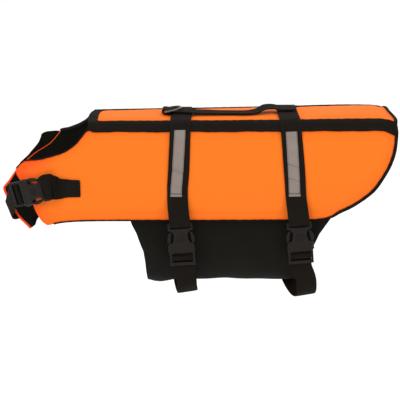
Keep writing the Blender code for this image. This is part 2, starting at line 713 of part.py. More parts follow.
def male_half(into):
    """Male half with its two arms and a ladder of two slots."""
    plate = block("plate", ((-15.9, 15.9), (-1.3, 1.3), (35.3, 55.7)), 0.5, into)
    shoulder = block("shoulder", ((-15.9, 15.9), (-1.3, 3.4), (35.3, 39.3)), 0.6, into)
    parts = [shoulder]
    for sign in (-1, 1):
        inner, outer, tip = 12.5, 15.3, 17.2
        w = sorted((sign * inner, sign * outer))
        parts.append(block("arm", (w, (-1.6, 2.0), (12.5, 36.5)), 0, into))
        w = sorted((sign * inner, sign * tip))
        parts.append(block("tip", (w, (-1.6, 2.0), (11.5, 24.1)), 0.6, into))
    combine(plate, parts, "UNION")
    first = block("first", ((-13.2, 13.2), (-6, 6), (39.5, 43.5)), 0, into)
    second = block("second", ((-13.2, 13.2), (-6, 6), (46.0, 51.2)), 0, into)
    return combine(plate, [first, second], "DIFFERENCE")


def place(source, name, frame, mat, into):
    """Copy of a buckle half set in a buckle's frame."""
    origin, along, width, out = frame
    mesh = source.data.copy()
    mesh.name = name
    turn = Matrix([[*row] for row in np.stack([width, out, along], 1)]).to_4x4()
    mesh.transform(Matrix.Translation(Vector(origin * MM)) @ turn)
    if turn.determinant() < 0:
        mesh.flip_normals()
    mesh.materials.clear()
    mesh.materials.append(mat)
    obj = bpy.data.objects.new(name, mesh)
    into.objects.link(obj)


def buckles(mats, into):
    """The three fastened side-release buckles."""
    female = female_half(into)
    male = male_half(into)
    for word, frame in (("front", FRONT_BUCKLE), ("rear", REAR_BUCKLE), ("chest", CHEST_BUCKLE)):
        place(female, f"{word}_buckle_female", frame, mats["plastic"], into)
        place(male, f"{word}_buckle_male", frame, mats["plastic"], into)
    bpy.data.objects.remove(female, do_unlink=True)
    bpy.data.objects.remove(male, do_unlink=True)


# ---------------------------------------------------------------- chest straps, handle, ring
CHEST_Z = -77.4                # height of the left chest strap where it is sewn
CHEST_SEWN = [(195.5, 21.0), (204.0, 21.0), (213.0, 21.5), (221.0, 23.5)]   # (s, width)
CHEST_RIGHT_Z = -100.0
# the right chest strap, from the front of the chest back: (s, mm below CHEST_RIGHT_Z)
CHEST_RIGHT = [(316, 28), (306, 29), (295, 28), (282, 24), (268, 20), (254, 16),
               (240, 13), (226, 12)]
# where its free part turns in front of the chest: middle and width direction
CHEST_TURN = ((-296.5, -3.0, -123.0), (-0.40, 0.50, 0.77))
CHEST_FREE = (65.0, -3.0)      # (along, out) of the buckle where its free part starts to slant

# webbing handle: (x, y, rise of its mid plane over the back, tilt against the back in degrees)
HANDLE = [(-75.5, -8, 3.8, 0), (-62, -9, 3.8, 0), (-53, -12, 3.4, 0), (-40, -13, 2.9, 0),
          (-22, -14, 2.3, -1), (-5, -15, 2.2, -2), (10, -16, 2.1, -2), (20, -15, 2.2, 0),
          (29, -12, 3.8, 3), (36, -10, 6.6, 5), (43, -8, 7.4, 5), (50, -7, 6.8, 4),
          (57, -6, 5.0, 2), (64, -5, 3.9, 0), (75.5, -4, 3.8, 0)]
HANDLE_WIDTH = 22.0
HANDLE_THICK = 2.2

RING_X = -90.5                 # hinge line of the leash ring
RING_Y = -7.0                  # middle of the ring, a little left of the spine
RING_RISE = 4.1                # its height over the spine
RING_WIRE = 1.5                # radius of the wire
RING_HALF = 14.5               # half width of the ring at the wire's centre
RING_LEG = 6.5                 # straight stretch of each leg
RING_CORNER = 2.0              # radius of the ring's two corners
RING_LEAN = 11.0               # degrees over level
TAB_WIDTH = 22.0
# webbing tab folded round the ring's bar: (x, rise of its mid plane over the spine)
TAB = [(-82.2, 1.4), (-86.5, 1.35), (-90.5, 1.25), (-92.6, 2.1), (-93.4, 4.1), (-92.6, 6.1),
       (-90.5, 6.95), (-86.5, 6.3), (-82.5, 4.9), (-79.5, 3.75), (-77.0, 3.5)]


def depth_at(z):
    """Distance down the side, at the start of the chest, where the form has height z."""
    drop = SPINE_Z + spline(CREST, -NOSE_START) - z
    return float(np.interp(drop, DOWN, STEP))


def chest_strap_left(mats, into):
    """Strap sewn to the left panel and wrapped round the bar of the chest buckle."""
    s, width = np.array(CHEST_SEWN, float).T
    h = np.full(len(s), depth_at(CHEST_Z))
    lift = FORM_MID + np.array([0, 0, 0.3, 1.8])
    body = skin(-1, s, h, lift)
    wrap = in_frame(CHEST_BUCKLE, FEMALE_WRAP)
    path = np.vstack([body, wrap])
    across = np.tile(CHEST_BUCKLE[2], (len(path), 1))
    across[:len(body)] = (0, 0, 1)
    widths = np.concatenate([width, [27.0, 25.5], np.full(len(wrap) - 2, 25.0)])
    path[len(body)] += CHEST_BUCKLE[2] * 1.2
    wall("chest_strap_left", *ribbon(path, across, WEB, widths), mats["web"], into)


def chest_strap_right(mats, into):
    """Strap from the male half round the front of the chest, sewn to the right panel."""
    s, low = np.array(CHEST_RIGHT).T[:, :, None]
    h = depth_at(CHEST_RIGHT_Z) + low + np.linspace(-0.5, 0.5, 3)[None] * STRAP_WIDTH
    s, h = np.broadcast_arrays(s, h)
    low = skin(1, s, h, np.full(s.shape, STRAP_LOW))
    high = skin(1, s, h, np.full(s.shape, STRAP_HIGH))
    thread = in_frame(CHEST_BUCKLE, [CHEST_FREE, *MALE_WRAP])[::-1]
    across = np.vstack([np.tile(CHEST_BUCKLE[2], (len(thread), 1)), CHEST_TURN[1]])
    start, end = ribbon(np.vstack([thread, CHEST_TURN[0]]), -across, WEB, STRAP_WIDTH, 3)
    wall("chest_strap_right", np.concatenate([start, low]), np.concatenate([end, high]),
         mats["web"], into)


def spine_z(x):
    """Height of the form's outer face over the spine."""
    return SPINE_Z + spline(CREST, x)


def handle(mats, into):
    """Webbing handle lying slack along the spine between the girth straps."""
    curve = densify(HANDLE, 5.5)
    x, y, rise, tilt = curve.T
    drop = np.interp(np.abs(y), OUT, DOWN)
    path = np.stack([x, y, spine_z(x) - drop + rise], 1)
    slope = np.interp(np.abs(y), OUT, np.interp(STEP, *np.array(SECTION, float).T))
    t = np.radians(tilt + slope)
    across = np.stack([0 * t, np.cos(t), np.sin(t)], 1)
    wall("handle", *ribbon(path, across, HANDLE_THICK, HANDLE_WIDTH), mats["web"], into)


def leash_ring(mats, into):
    """Webbing tab in front of the front strap and the D-shaped ring that swings in it."""
    x, rise = np.array(TAB, float).T
    path = np.stack([x, 0 * x + RING_Y, spine_z(np.full(len(x), RING_X)) + rise], 1)
    wall("leash_ring_tab", *ribbon(path, (0, 1, 0), WEB, TAB_WIDTH), mats["web"], into)
    turns = np.radians(np.linspace(-90, 90, 13))
    bow = [(RING_LEG + RING_HALF * np.cos(t), RING_HALF * np.sin(t)) for t in turns]
    half = RING_HALF
    near = RING_CORNER * (1 - np.cos(np.pi / 4))
    bar = [(RING_CORNER, half), (near, half - near), (0, half - RING_CORNER), (0, half / 3),
           (0, -half / 3), (0, RING_CORNER - half), (near, near - half), (RING_CORNER, -half)]
    flat = np.array(bow + bar)
    n = len(flat)
    along = np.roll(flat, -1, 0) - np.roll(flat, 1, 0)
    along /= np.linalg.norm(along, axis=1, keepdims=True)
    out = np.stack([along[:, 1], -along[:, 0]], 1)
    lean = radians(RING_LEAN)
    ex = np.array([np.cos(lean), 0, np.sin(lean)])
    ey = np.array([0, 1.0, 0])
    ez = np.cross(ex, ey)
    turn = np.radians(np.arange(8) * 45 + 22.5)
    rings = np.zeros((n, 8, 3))
    for k, t in enumerate(turn):
        p = flat + out * RING_WIRE * np.cos(t)
        rings[:, k] = p[:, :1] * ex + p[:, 1:] * ey + RING_WIRE * np.sin(t) * ez
    ring = loft("leash_ring", rings, mats["steel"], into, closed=True)
    ring.location = Vector((RING_X, RING_Y, float(spine_z(RING_X)) + RING_RISE)) * MM


def build():
    """Make the whole jacket."""
    for obj in list(bpy.data.objects):
        bpy.data.objects.remove(obj, do_unlink=True)
    into = collection("dog_life_jacket")
    mats = {
        "orange": material("orange_nylon", ORANGE, 0.75),
        "lining": material("black_lining", BLACK_CLOTH, 0.85),
        "web": material("black_webbing", BLACK_WEB, 0.8),
        "plastic": material("black_plastic", BLACK_PLASTIC, 0.45),
        "silver": material("reflective_silver", SILVER, 0.4),
        "steel": material("plated_steel", STEEL, 0.25, 1.0),
    }
    back_panel(mats, into)
    side_panel(-1, "side_panel_left", "side_lining_left", mats, into)
    side_panel(1, "side_panel_right", "side_lining_right", mats, into)
    belly_panel(mats, into)
    seam_tape(-1, "seam_tape_left", mats, into)
    seam_tape(1, "seam_tape_right", mats, into)
    bindings(mats, into)
    neck_facing(mats, into)
    girth_strap("girth_strap_front", FRONT_STRAP, FRONT_BUCKLE, FRONT_SLACK, mats, into)
    girth_strap("girth_strap_rear", REAR_STRAP, REAR_BUCKLE, REAR_SLACK, mats, into)
    for side, word in ((-1, "left"), (1, "right")):
        reflective_strip(side, f"reflective_front_{word}", FRONT_STRAP, mats, into)
        reflective_strip(side, f"reflective_rear_{word}", REAR_STRAP, mats, into)
    buckles(mats, into)
    chest_strap_left(mats, into)
    chest_strap_right(mats, into)
    handle(mats, into)
    leash_ring(mats, into)


build()
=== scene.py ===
"""A dog life jacket dressed in its cloth, webbing, buckles and sewing.

Shapes are worked out in millimetres on one worn form and set in metres. A place on the form
is (s, h): s is the distance from the middle of the jacket toward the neck, h the distance down
the side from the spine. A lift moves the place along the outward normal. The jacket runs along
X with the neck at -X, its left side is at -Y and its back is up.
"""

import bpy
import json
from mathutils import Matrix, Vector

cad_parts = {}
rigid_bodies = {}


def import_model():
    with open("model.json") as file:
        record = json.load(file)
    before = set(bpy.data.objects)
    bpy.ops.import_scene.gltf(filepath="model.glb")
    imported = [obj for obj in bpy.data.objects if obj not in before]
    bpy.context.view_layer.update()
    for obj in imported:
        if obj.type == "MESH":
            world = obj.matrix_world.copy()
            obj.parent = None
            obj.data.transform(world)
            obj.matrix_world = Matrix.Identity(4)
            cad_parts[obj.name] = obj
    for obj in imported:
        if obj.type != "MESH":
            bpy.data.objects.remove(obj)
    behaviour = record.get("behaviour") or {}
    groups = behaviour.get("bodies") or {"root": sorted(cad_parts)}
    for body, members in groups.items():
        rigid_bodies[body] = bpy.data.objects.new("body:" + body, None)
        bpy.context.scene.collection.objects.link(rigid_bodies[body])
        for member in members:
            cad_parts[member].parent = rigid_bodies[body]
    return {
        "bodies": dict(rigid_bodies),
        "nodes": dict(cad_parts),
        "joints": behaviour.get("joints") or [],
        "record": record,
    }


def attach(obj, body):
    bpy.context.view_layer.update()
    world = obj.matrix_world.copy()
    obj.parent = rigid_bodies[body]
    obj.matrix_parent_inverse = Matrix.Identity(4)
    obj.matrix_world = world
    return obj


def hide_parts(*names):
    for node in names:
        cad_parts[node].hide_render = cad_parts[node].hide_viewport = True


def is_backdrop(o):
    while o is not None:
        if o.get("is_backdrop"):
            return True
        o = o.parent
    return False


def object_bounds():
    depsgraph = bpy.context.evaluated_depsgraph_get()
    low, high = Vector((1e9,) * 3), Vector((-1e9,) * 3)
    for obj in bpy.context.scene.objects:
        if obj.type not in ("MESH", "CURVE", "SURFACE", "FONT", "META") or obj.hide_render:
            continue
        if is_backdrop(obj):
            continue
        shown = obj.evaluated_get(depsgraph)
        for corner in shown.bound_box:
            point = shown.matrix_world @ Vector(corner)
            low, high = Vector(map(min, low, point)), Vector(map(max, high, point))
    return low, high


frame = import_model()
CAD_BOX = [list(corner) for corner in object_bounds()]

import json
from functools import partial
from math import cos, pi, radians, sin

import bpy
import numpy as np
from bpy.props import FloatProperty, FloatVectorProperty, PointerProperty
from mathutils import Matrix, Vector

bl_info = {
    "name": "Dog life jacket",
    "version": (1, 0, 0),
    "blender": (4, 5, 0),
    "location": "3D View > Sidebar > Jacket",
    "description": "Builds a padded dog life jacket from its cut, webbing, buckles and sewing",
    "category": "Object",
}

# ---------------------------------------------------------------- sizes, mm
MM = 0.001
GAP = 0.3                      # clearance between neighbouring pieces

BACK_HALF = 49.8               # half width of the back panel, spine to side seam
SPINE_Z = 5.0                  # height of the form at the spine, before the crest
NOSE_START = 195.0             # s where the chest starts to curve round
NOSE_RADIUS = 87.0             # arc length per radian of that curve
REAR_END = -199.0              # s of the rear end at the side seams
NECK_END = 184.0               # s where the neck cut crosses the side seam
NECK_BULGE = 3.0               # how far the back's neck edge bows past that

FULL_OUT = 0.0                 # lift of a panel's full outer face
EDGE_OUT = -2.3                # lift of a panel's outer face at its sewn edge
PANEL_IN = -5.5                # lift of a panel's inner face
LINING_OUT = PANEL_IN - GAP
LINING_IN = LINING_OUT - 1.2   # the lining is 1.2 thick
EDGE_FLAT = 6.0                # width of the flat margin at a bound edge
SEAM_FLAT = 11.5               # width of the flat margin at a taped side seam
EDGE_RISE = 12.0               # width over which the foam rises from it

TAPE_LOW = EDGE_OUT + GAP      # lift of the seam tape's inner face
TAPE_HIGH = TAPE_LOW + 1.6     # and of its outer face
TAPE_TOP_H = 40.0              # distance down the side of its upper edge
TAPE_BOTTOM_H = 60.0           # and of its lower edge
TAPE_TURN = 7.0                # how far the tape turns down at the rear binding
WEB = 1.6                      # thickness of webbing
STRAP_WIDTH = 25.0
STRIP_WIDTH = 13.5             # width of a reflective band
STITCH_ROW = 10.6              # from a girth strap's middle to its rows of stitches

REAR_LEG = 3.0                 # how far the rear binding reaches over each face
HEM_LEG = 0.7                  # the same for the narrow bindings of the neck and the hems
BIND_WALL = 0.8                # thickness of a binding
BIND_GAP = 0.5                 # clearance between a binding and the edge it wraps
NECK_WIDE = 11.0               # reach of the neck binding over the outer cloth of the back
NECK_WIDE_TO = 60.0            # across, where it has narrowed to the sides' width
FACING_WALL = 1.6              # thickness of the neck facing
NECK_FAR = 0.345               # share of the far neck edge that the neck binding covers
HEM_TURN = 0.085               # share of the hem that the rear binding goes round
HEM_END = 0.968                # share of the hem where its own binding ends by the chest

SIDES = ((-1, "left"), (1, "right"))
SIDE_GRID = (236, 104)         # points along and down a side panel
SIDE_LINING_GRID = (150, 60)
BACK_GRID = (200, 92)          # points along and across the back panel
BACK_LINING_GRID = (120, 56)

# section of the form: direction of the wall at each distance from the spine
SECTION = [  # (h, degrees below level)
    (0, 0), (40, 6), (60, 62), (140, 92), (174, 96), (240, 97)]
# fullness of the form along its length
FULLNESS = [  # (x, factor)
    (-195, 0.95), (-120, 0.99), (-20, 1.02), (80, 1.03), (160, 1.01), (204, 0.97)]
# how much farther out the shoulders lie along the length, down to SHOULDER_H and then less
# and less down to FLANK_H
SHOULDER_H = 70.0
FLANK_H = 140.0
BROAD = [  # (x, mm)
    (-195, 0), (-100, 0.8), (0, 2.5), (100, 4.5), (204, 5.5)]
# height of the spine along its length
CREST = [  # (x, rise)
    (-195, -0.5), (-120, 0.5), (0, 2.0), (100, 4.0), (160, 5.2), (204, 4.2)]
# how far the chest reaches ahead of NOSE_START, on each side
NOSE_LEFT = [  # (z, reach)
    (-175, 62), (-150, 78), (-133, 88), (-115, 97), (-100, 103), (-90, 104.5),
    (-75, 102), (-63, 97), (-50, 90), (-35, 78), (-20, 66), (10, 50)]
NOSE_RIGHT = [  # (z, reach)
    (-180, 74), (-160, 82), (-150, 88.5), (-140, 97.5), (-128, 104), (-112, 110),
    (-96, 113.8), (-88, 111.3), (-76, 111), (-64, 109.5), (-32, 101.5), (-14, 92), (6, 80)]

# ---------------------------------------------------------------- curves


def spline(table, at):
    """Natural cubic through a table of (place, value), held level past its ends."""
    xs, ys = np.array(table, float).T
    n = len(xs)
    h = np.diff(xs)
    a = np.eye(n)
    r = np.zeros(n)
    for i in range(1, n - 1):
        a[i, i - 1] = h[i - 1]
        a[i, i] = 2 * (h[i - 1] + h[i])
        a[i, i + 1] = h[i]
        r[i] = 6 * ((ys[i + 1] - ys[i]) / h[i] - (ys[i] - ys[i - 1]) / h[i - 1])
    m = np.linalg.solve(a, r)
    x = np.clip(np.asarray(at, float), xs[0], xs[-1])
    i = np.clip(np.searchsorted(xs, x) - 1, 0, n - 2)
    p = xs[i + 1] - x
    q = x - xs[i]
    w = h[i]
    bend = m[i] * p ** 3 / (6 * w) + m[i + 1] * q ** 3 / (6 * w)
    return bend + (ys[i] / w - m[i] * w / 6) * p + (ys[i + 1] / w - m[i + 1] * w / 6) * q


def section_curves():
    """Reach out from the spine plane and drop below it, against distance from the spine."""
    step = np.linspace(0, 240, 2401)
    hs, degrees = np.array(SECTION, float).T
    slope = np.radians(np.interp(step, hs, degrees))

    def total(f):
        return np.concatenate([[0], np.cumsum((f[1:] + f[:-1]) / 2 * np.diff(step))])
    return step, total(np.cos(slope)), total(np.sin(slope))


STEP, OUT, DOWN = section_curves()
WIDEST = OUT.max()


def unit(vectors):
    """The vectors, each made 1 long."""
    return vectors / np.maximum(np.linalg.norm(vectors, axis=-1, keepdims=True), 1e-9)


def ease(t):
    """0 up to t = 0, 1 from t = 1, and 3 t^2 - 2 t^3 between them."""
    t = np.clip(t, 0, 1)
    return t * t * (3 - 2 * t)


def form(side, s, h):
    """Point of the worn form. side is -1 for the left and 1 for the right."""
    s = np.asarray(s, float)
    h = np.asarray(h, float)
    x = -np.minimum(s, NOSE_START)
    full = spline(FULLNESS, x)
    fall = (h - SHOULDER_H) / (FLANK_H - SHOULDER_H)
    fade = np.clip(h / TAPE_TOP_H, 0, 1) * (1 - np.clip(fall, 0, 1))
    broad = spline(BROAD, x) * fade
    z = SPINE_Z + spline(CREST, x) - np.interp(h - broad, STEP, DOWN)
    out = (np.interp(h - broad, STEP, OUT) + broad) * full
    turn = np.maximum(s - NOSE_START, 0) / NOSE_RADIUS
    reach = spline(NOSE_LEFT if side < 0 else NOSE_RIGHT, z)
    reach = reach - (WIDEST * full - out)
    px = np.where(turn > 0, -NOSE_START - reach * np.sin(turn), x)
    py = np.where(turn > 0, out * np.cos(turn), out)
    return np.stack([px, side * py, z], -1)


def skin(side, s, h, lift):
    """Point of the form moved out by lift along its normal."""
    s = np.asarray(s, float)
    h = np.asarray(h, float)
    d = 1.5                        # half the step between the points compared
    ds = form(side, s + d, h) - form(side, s - d, h)
    low = np.maximum(h - d, 0)
    dh = form(side, s, h + d) - form(side, s, low)
    n = unit(side * np.cross(dh, ds))
    return form(side, s, h) + n * np.asarray(lift, float)[..., None]


def over(s, across, lift):
    """Point on the form where across runs from the left (-) over the spine to the right (+)."""
    across = np.asarray(across, float)
    s = np.broadcast_to(np.asarray(s, float), across.shape)
    lift = np.broadcast_to(np.asarray(lift, float), across.shape)
    left = skin(-1, s, np.abs(across), lift)
    right = skin(1, s, np.abs(across), lift)
    return np.where((across < 0)[..., None], left, right)


def running(line):
    """Distance along a polyline to each of its points."""
    steps = np.linalg.norm(np.diff(np.asarray(line, float), axis=0), axis=1)
    return np.concatenate([[0], np.cumsum(steps)])


def resample(line, places):
    """Points of a polyline at the given fractions of its length."""
    line = np.asarray(line, float)
    run = running(line)
    want = np.asarray(places) * run[-1]
    return np.stack([np.interp(want, run, line[:, k]) for k in range(line.shape[1])], -1)


def smooth(line, count=12):
    """Catmull-Rom curve through a short line of points, count steps from each to the next."""
    p = np.asarray(line, float)
    a, b, c, d = (part[:, None] for part in (
        np.vstack([p[:1], p[:-2]]), p[:-1], p[1:], np.vstack([p[2:], p[-1:]])))
    t = np.linspace(0, 1, count, endpoint=False)[None, :, None]
    curve = 0.5 * (2 * b + (c - a) * t + (2 * a - 5 * b + 4 * c - d) * t * t
                   + (3 * b - a - 3 * c + d) * t ** 3)
    return np.vstack([curve.reshape(-1, p.shape[1]), p[-1:]])


# ---------------------------------------------------------------- outlines in (s, h)
SEAM_H = BACK_HALF + GAP       # the side panel starts just below the back panel
# how much lower the side seam runs toward the rear
FLARE = [  # (s, mm)
    (-204, 8.0), (-140, 7.0), (-60, 4.6), (40, 2.0), (120, 0.6), (184, 0)]


def flare(s):
    """Drop of the side seam at s, below its height at the neck."""
    return spline(FLARE, s)


LEFT_NECK = [(184, SEAM_H), (186.1, 57.0), (190.4, 62.7), (195.0, 69.0), (203.1, 75.7),
             (211.4, 81.0), (223.0, 87.7), (241.9, 93.9), (256.7, 98.4), (275.0, 101.8),
             (288.5, 105.0), (297.0, 116.0)]
LEFT_FRONT = [(297.0, 116.0), (290, 121.5), (274.9, 128.7), (261, 142.0), (255, 156),
              (254, 169), (251, 180), (244.5, 185)]
LEFT_HEM = [(244.5, 185), (238, 183.6), (227, 179.7), (209, 176.4), (184, 175.1),
            (131, 174.9), (60, 175.3), (0, 175.7), (-60, 176.2), (-99, 176.6),
            (-118, 174.8), (-130.2, 168.4), (-145.1, 161.2), (-159.2, 151.8)]
LEFT_REAR = [(-159.2, 151.8), (-173.6, 138.8), (-187.5, 117.5), (-193.7, 104.4),
             (-197.5, 91.6), (-199.8, 72.3), (-199.5, 65), (REAR_END, SEAM_H + flare(REAR_END))]
RIGHT_NECK = [(184, SEAM_H), (187.5, 54.5), (192.5, 60.0), (198.5, 65.7), (208.7, 72.2),
              (221.8, 77.7), (232.5, 79.8), (236.2, 87.0), (242.2, 97.6), (251.4, 104.9),
              (260, 110.0), (272.6, 119.5), (286.4, 130.0), (306.9, 143.3), (321, 148.9)]
RIGHT_FRONT = [(321, 148.9), (319.7, 162.0), (318.6, 176.1), (319.6, 191.3), (322, 209)]
RIGHT_HEM = [(322, 209), (309, 208), (295.4, 204.3), (277.4, 198.9), (260, 190.5),
             (244, 183), (225, 178.2), (204, 175.8), *LEFT_HEM[4:]]
# the black neck facing that stands past the right panel's neck edge
FACING_INNER = [(234.6, 81.8), (237.6, 87.5), (243.1, 96.9), (252.0, 104.1), (260.7, 109.2),
                (273.4, 118.7), (280.0, 124.0)]
FACING_OUTER = [(243.0, 80.5), (253.5, 81.2), (259.2, 84.5), (258.6, 89.8), (260.5, 99.5),
                (269.8, 112.8), (282.0, 123.3)]


def outline(side):
    """The edges of a side panel: seam, neck, front, hem and rear."""
    neck, front, hem = ((LEFT_NECK, LEFT_FRONT, LEFT_HEM) if side < 0
                        else (RIGHT_NECK, RIGHT_FRONT, RIGHT_HEM))
    s = np.linspace(REAR_END, NECK_END, 40)
    seam = np.stack([s, SEAM_H + flare(s)], 1)
    return seam, smooth(neck), smooth(front), smooth(hem), smooth(LEFT_REAR)


def patch(top, front, hem, rear, us, vs):
    """Grid filled between four edges. top runs rear to front, rear runs up."""
    t = resample(top, us)
    b = resample(hem[::-1], us)
    left = resample(rear[::-1], vs)
    right = resample(front, vs)
    u = np.asarray(us)[:, None, None]
    v = np.asarray(vs)[None, :, None]
    corners = ((1 - u) * (1 - v) * t[0] + u * (1 - v) * t[-1]
               + (1 - u) * v * b[0] + u * v * b[-1])
    return ((1 - v) * t[:, None] + v * b[:, None] + (1 - u) * left[None]
            + u * right[None] - corners)


def length_of(line):
    """Length of a polyline."""
    return np.linalg.norm(np.diff(np.asarray(line, float), axis=0), axis=1).sum()


def puff(distance, flat):
    """Lift of a panel's outer face at a distance from its edge."""
    return EDGE_OUT + (FULL_OUT - EDGE_OUT) * ease((distance - flat) / EDGE_RISE)


# ---------------------------------------------------------------- sizes and colours


def measure(name, description, default):
    """A length property, in metres."""
    return FloatProperty(name=name, description=description, default=default, min=0.0,
                         unit="LENGTH", subtype="DISTANCE", precision=5)


def colour(name, description, default):
    """A linear RGB colour property."""
    return FloatVectorProperty(name=name, description=description, default=default, size=3,
                               min=0.0, max=1.0, subtype="COLOR")


class JacketSizes(bpy.types.PropertyGroup):
    """Sizes of the finish that the jacket's dressing adds to its form."""

    stitch: measure("Stitch", "Length of one stitch", 0.0026)
    stitch_step: measure("Stitch step", "From the start of one stitch to the next", 0.0036)
    thread: measure("Thread", "Thickness of the sewing thread", 0.00055)
    pucker: measure("Pucker", "Depth of the gathers along a sewn edge", 0.0006)
    pucker_reach: measure("Pucker reach", "How far the gathers run in from an edge", 0.013)
    press: measure("Press", "How far a sewn strap presses into the foam", 0.0007)
    crease: measure("Crease", "Depth of the deepest crease in a panel", 0.0016)
    ring_wire: measure("Ring wire", "Radius of the leash ring's wire", 0.0013)


class JacketColours(bpy.types.PropertyGroup):
    """Colours of the jacket's materials, linear."""

    orange: colour("Orange", "Outer nylon", (0.92, 0.180, 0.016))
    # painted shade: the orange darkened and reddened, mixed in by sewn edges and toward the
    # chest's front
    orange_shade: colour("Deep orange", "Outer nylon where it turns in at the chest",
                        (0.98, 0.078, 0.009))
    lining: colour("Lining", "Lining and belly cloth", (0.0056, 0.0047, 0.0033))
    webbing: colour("Webbing", "Straps and bindings", (0.0072, 0.0054, 0.0041))
    thread: colour("Thread", "Sewing thread", (0.010, 0.008, 0.006))
    plastic: colour("Plastic", "Buckles", (0.0066, 0.0042, 0.0029))
    reflective: colour("Reflective", "Reflective bands", (0.235, 0.19, 0.165))
    steel: colour("Steel", "Leash ring", (0.13, 0.115, 0.10))
    floor: colour("Floor", "Floor and surroundings", (0.93, 0.93, 0.925))


def sizes():
    """The scene's jacket sizes."""
    return bpy.context.scene.jacket_sizes


def colours():
    """The scene's jacket colours."""
    return bpy.context.scene.jacket_colours


# ---------------------------------------------------------------- materials


def scaled(base, scale):
    """A colour made lighter or darker."""
    return tuple(scale * part for part in base)


class Nodes:
    """Short hand for building a material's node tree."""

    def __init__(self, name):
        self.material = bpy.data.materials.new(name)
        self.material.use_nodes = True
        self.tree = self.material.node_tree
        self.shader = self.tree.nodes["Principled BSDF"]

    def add(self, kind, values=(), **settings):
        """A node with its settings, and its inputs set by position to values or sockets."""
        node = self.tree.nodes.new(kind)
        for key, value in settings.items():
            setattr(node, key, value)
        for index, value in enumerate(values):
            if isinstance(value, bpy.types.NodeSocket):
                self.tree.links.new(value, node.inputs[index])
            elif value is not None:
                node.inputs[index].default_value = value
        return node

    def math(self, operation, *values):
        """Result of a math node."""
        return self.add("ShaderNodeMath", values, operation=operation).outputs[0]

    def noise(self, vector, scale, detail=2.0, rough=0.5):
        """Value of a noise texture."""
        node = self.add("ShaderNodeTexNoise", (vector,))
        node.inputs["Scale"].default_value = scale
        node.inputs["Detail"].default_value = detail
        node.inputs["Roughness"].default_value = rough
        return node.outputs[0]

    def place(self):
        """Object coordinates, in metres."""
        return self.add("ShaderNodeTexCoord").outputs["Object"]

    def cloth_place(self):
        """Distance along and across the cloth, from the piece's UV map, in metres."""
        uv = self.add("ShaderNodeUVMap", uv_map="cloth").outputs[0]
        return self.add("ShaderNodeSeparateXYZ", (uv,)).outputs[:2]

    def wave(self, place, pitch):
        """A sine along place, from 0 to 1, that repeats after pitch."""
        turn = self.math("MULTIPLY", place, 2 * pi / pitch)
        return self.math("MULTIPLY_ADD", self.math("SINE", turn), 0.5, 0.5)

    def plain_weave(self, pitch):
        """Height of a plain weave: warp and weft sines that pass over each other in turn."""
        warp, weft = (self.math("SINE", self.math("MULTIPLY", way, 2 * pi / pitch))
                      for way in self.cloth_place())
        return self.math("MULTIPLY_ADD", self.math("MULTIPLY", warp, weft), 0.5, 0.5)

    def attribute(self, name):
        """Value of a mesh attribute at each point."""
        return self.add("ShaderNodeAttribute", attribute_name=name).outputs["Fac"]

    def ramp(self, value, low, high):
        """Value from 0 at low to 1 at high."""
        node = self.add("ShaderNodeMapRange", (value, low, high, 0.0, 1.0))
        return node.outputs[0]

    def mix(self, share, first, second):
        """Colour between first and second."""
        node = self.add("ShaderNodeMix", data_type="RGBA")
        self.tree.links.new(share, node.inputs[0])
        for socket, value in ((node.inputs[6], first), (node.inputs[7], second)):
            if isinstance(value, bpy.types.NodeSocket):
                self.tree.links.new(value, socket)
            else:
                socket.default_value = (*value, 1.0)
        return node.outputs[2]

    def tints(self, base, *layers):
        """The base colour mixed in turn with itself scaled, by layers of (value, share, scale)."""
        tone = base
        for value, share, scale in layers:
            tone = self.mix(self.math("MULTIPLY", value, share), tone, scaled(base, scale))
        return tone

    def bump(self, height, distance, strength, normal=None):
        """Normal bent by a height in units of distance."""
        node = self.add("ShaderNodeBump")
        node.inputs["Strength"].default_value = strength
        node.inputs["Distance"].default_value = distance
        self.tree.links.new(height, node.inputs["Height"])
        if normal:
            self.tree.links.new(normal, node.inputs["Normal"])
        return node.outputs[0]

    def finish(self, base=None, rough=None, normal=None, **plain):
        """Link the shader's sockets and set its plain ones."""
        for name, socket in (("Base Color", base), ("Roughness", rough), ("Normal", normal)):
            if socket:
                self.tree.links.new(socket, self.shader.inputs[name])
        for name, value in plain.items():
            socket = self.shader.inputs[name.replace("_", " ")]
            socket.default_value = (*value, 1.0) if isinstance(value, tuple) else value
        return self.material


def nylon(name, base, shade_orange, weave=0.0009):
    """Woven nylon: plain weave, soft wrinkles and faint blotches, with painted shade: darker weave
    valleys, and a deeper orange by sewn edges and toward the chest's front.
    """
    nodes = Nodes(name)
    place = nodes.place()
    height = nodes.plain_weave(weave)
    blotch = nodes.ramp(nodes.noise(place, 9.0, 3.0), 0.3, 0.7)
    slub = nodes.ramp(nodes.noise(place, 900.0, 2.0), 0.3, 0.7)
    valley = nodes.math("SUBTRACT", 1.0, height)
    # blotches and slubs vary the tone at random; the weave's valleys get painted shade
    tone = nodes.tints(base, (blotch, 0.22, 0.9), (slub, 0.12, 0.9), (valley, 0.10, 0.7))
    # painted shade from the mesh: the shaded orange by sewn edges and toward the chest's front
    tone = nodes.mix(nodes.attribute("worn"), tone, shade_orange)
    rough = nodes.math("MULTIPLY_ADD", blotch, 0.10, 0.62)
    soft = nodes.bump(nodes.noise(place, 46.0, 3.0, 0.6), 0.0012, 0.30)
    return nodes.finish(tone, rough, nodes.bump(height, 0.00018, 0.35, soft),
                        Specular_IOR_Level=0.05)


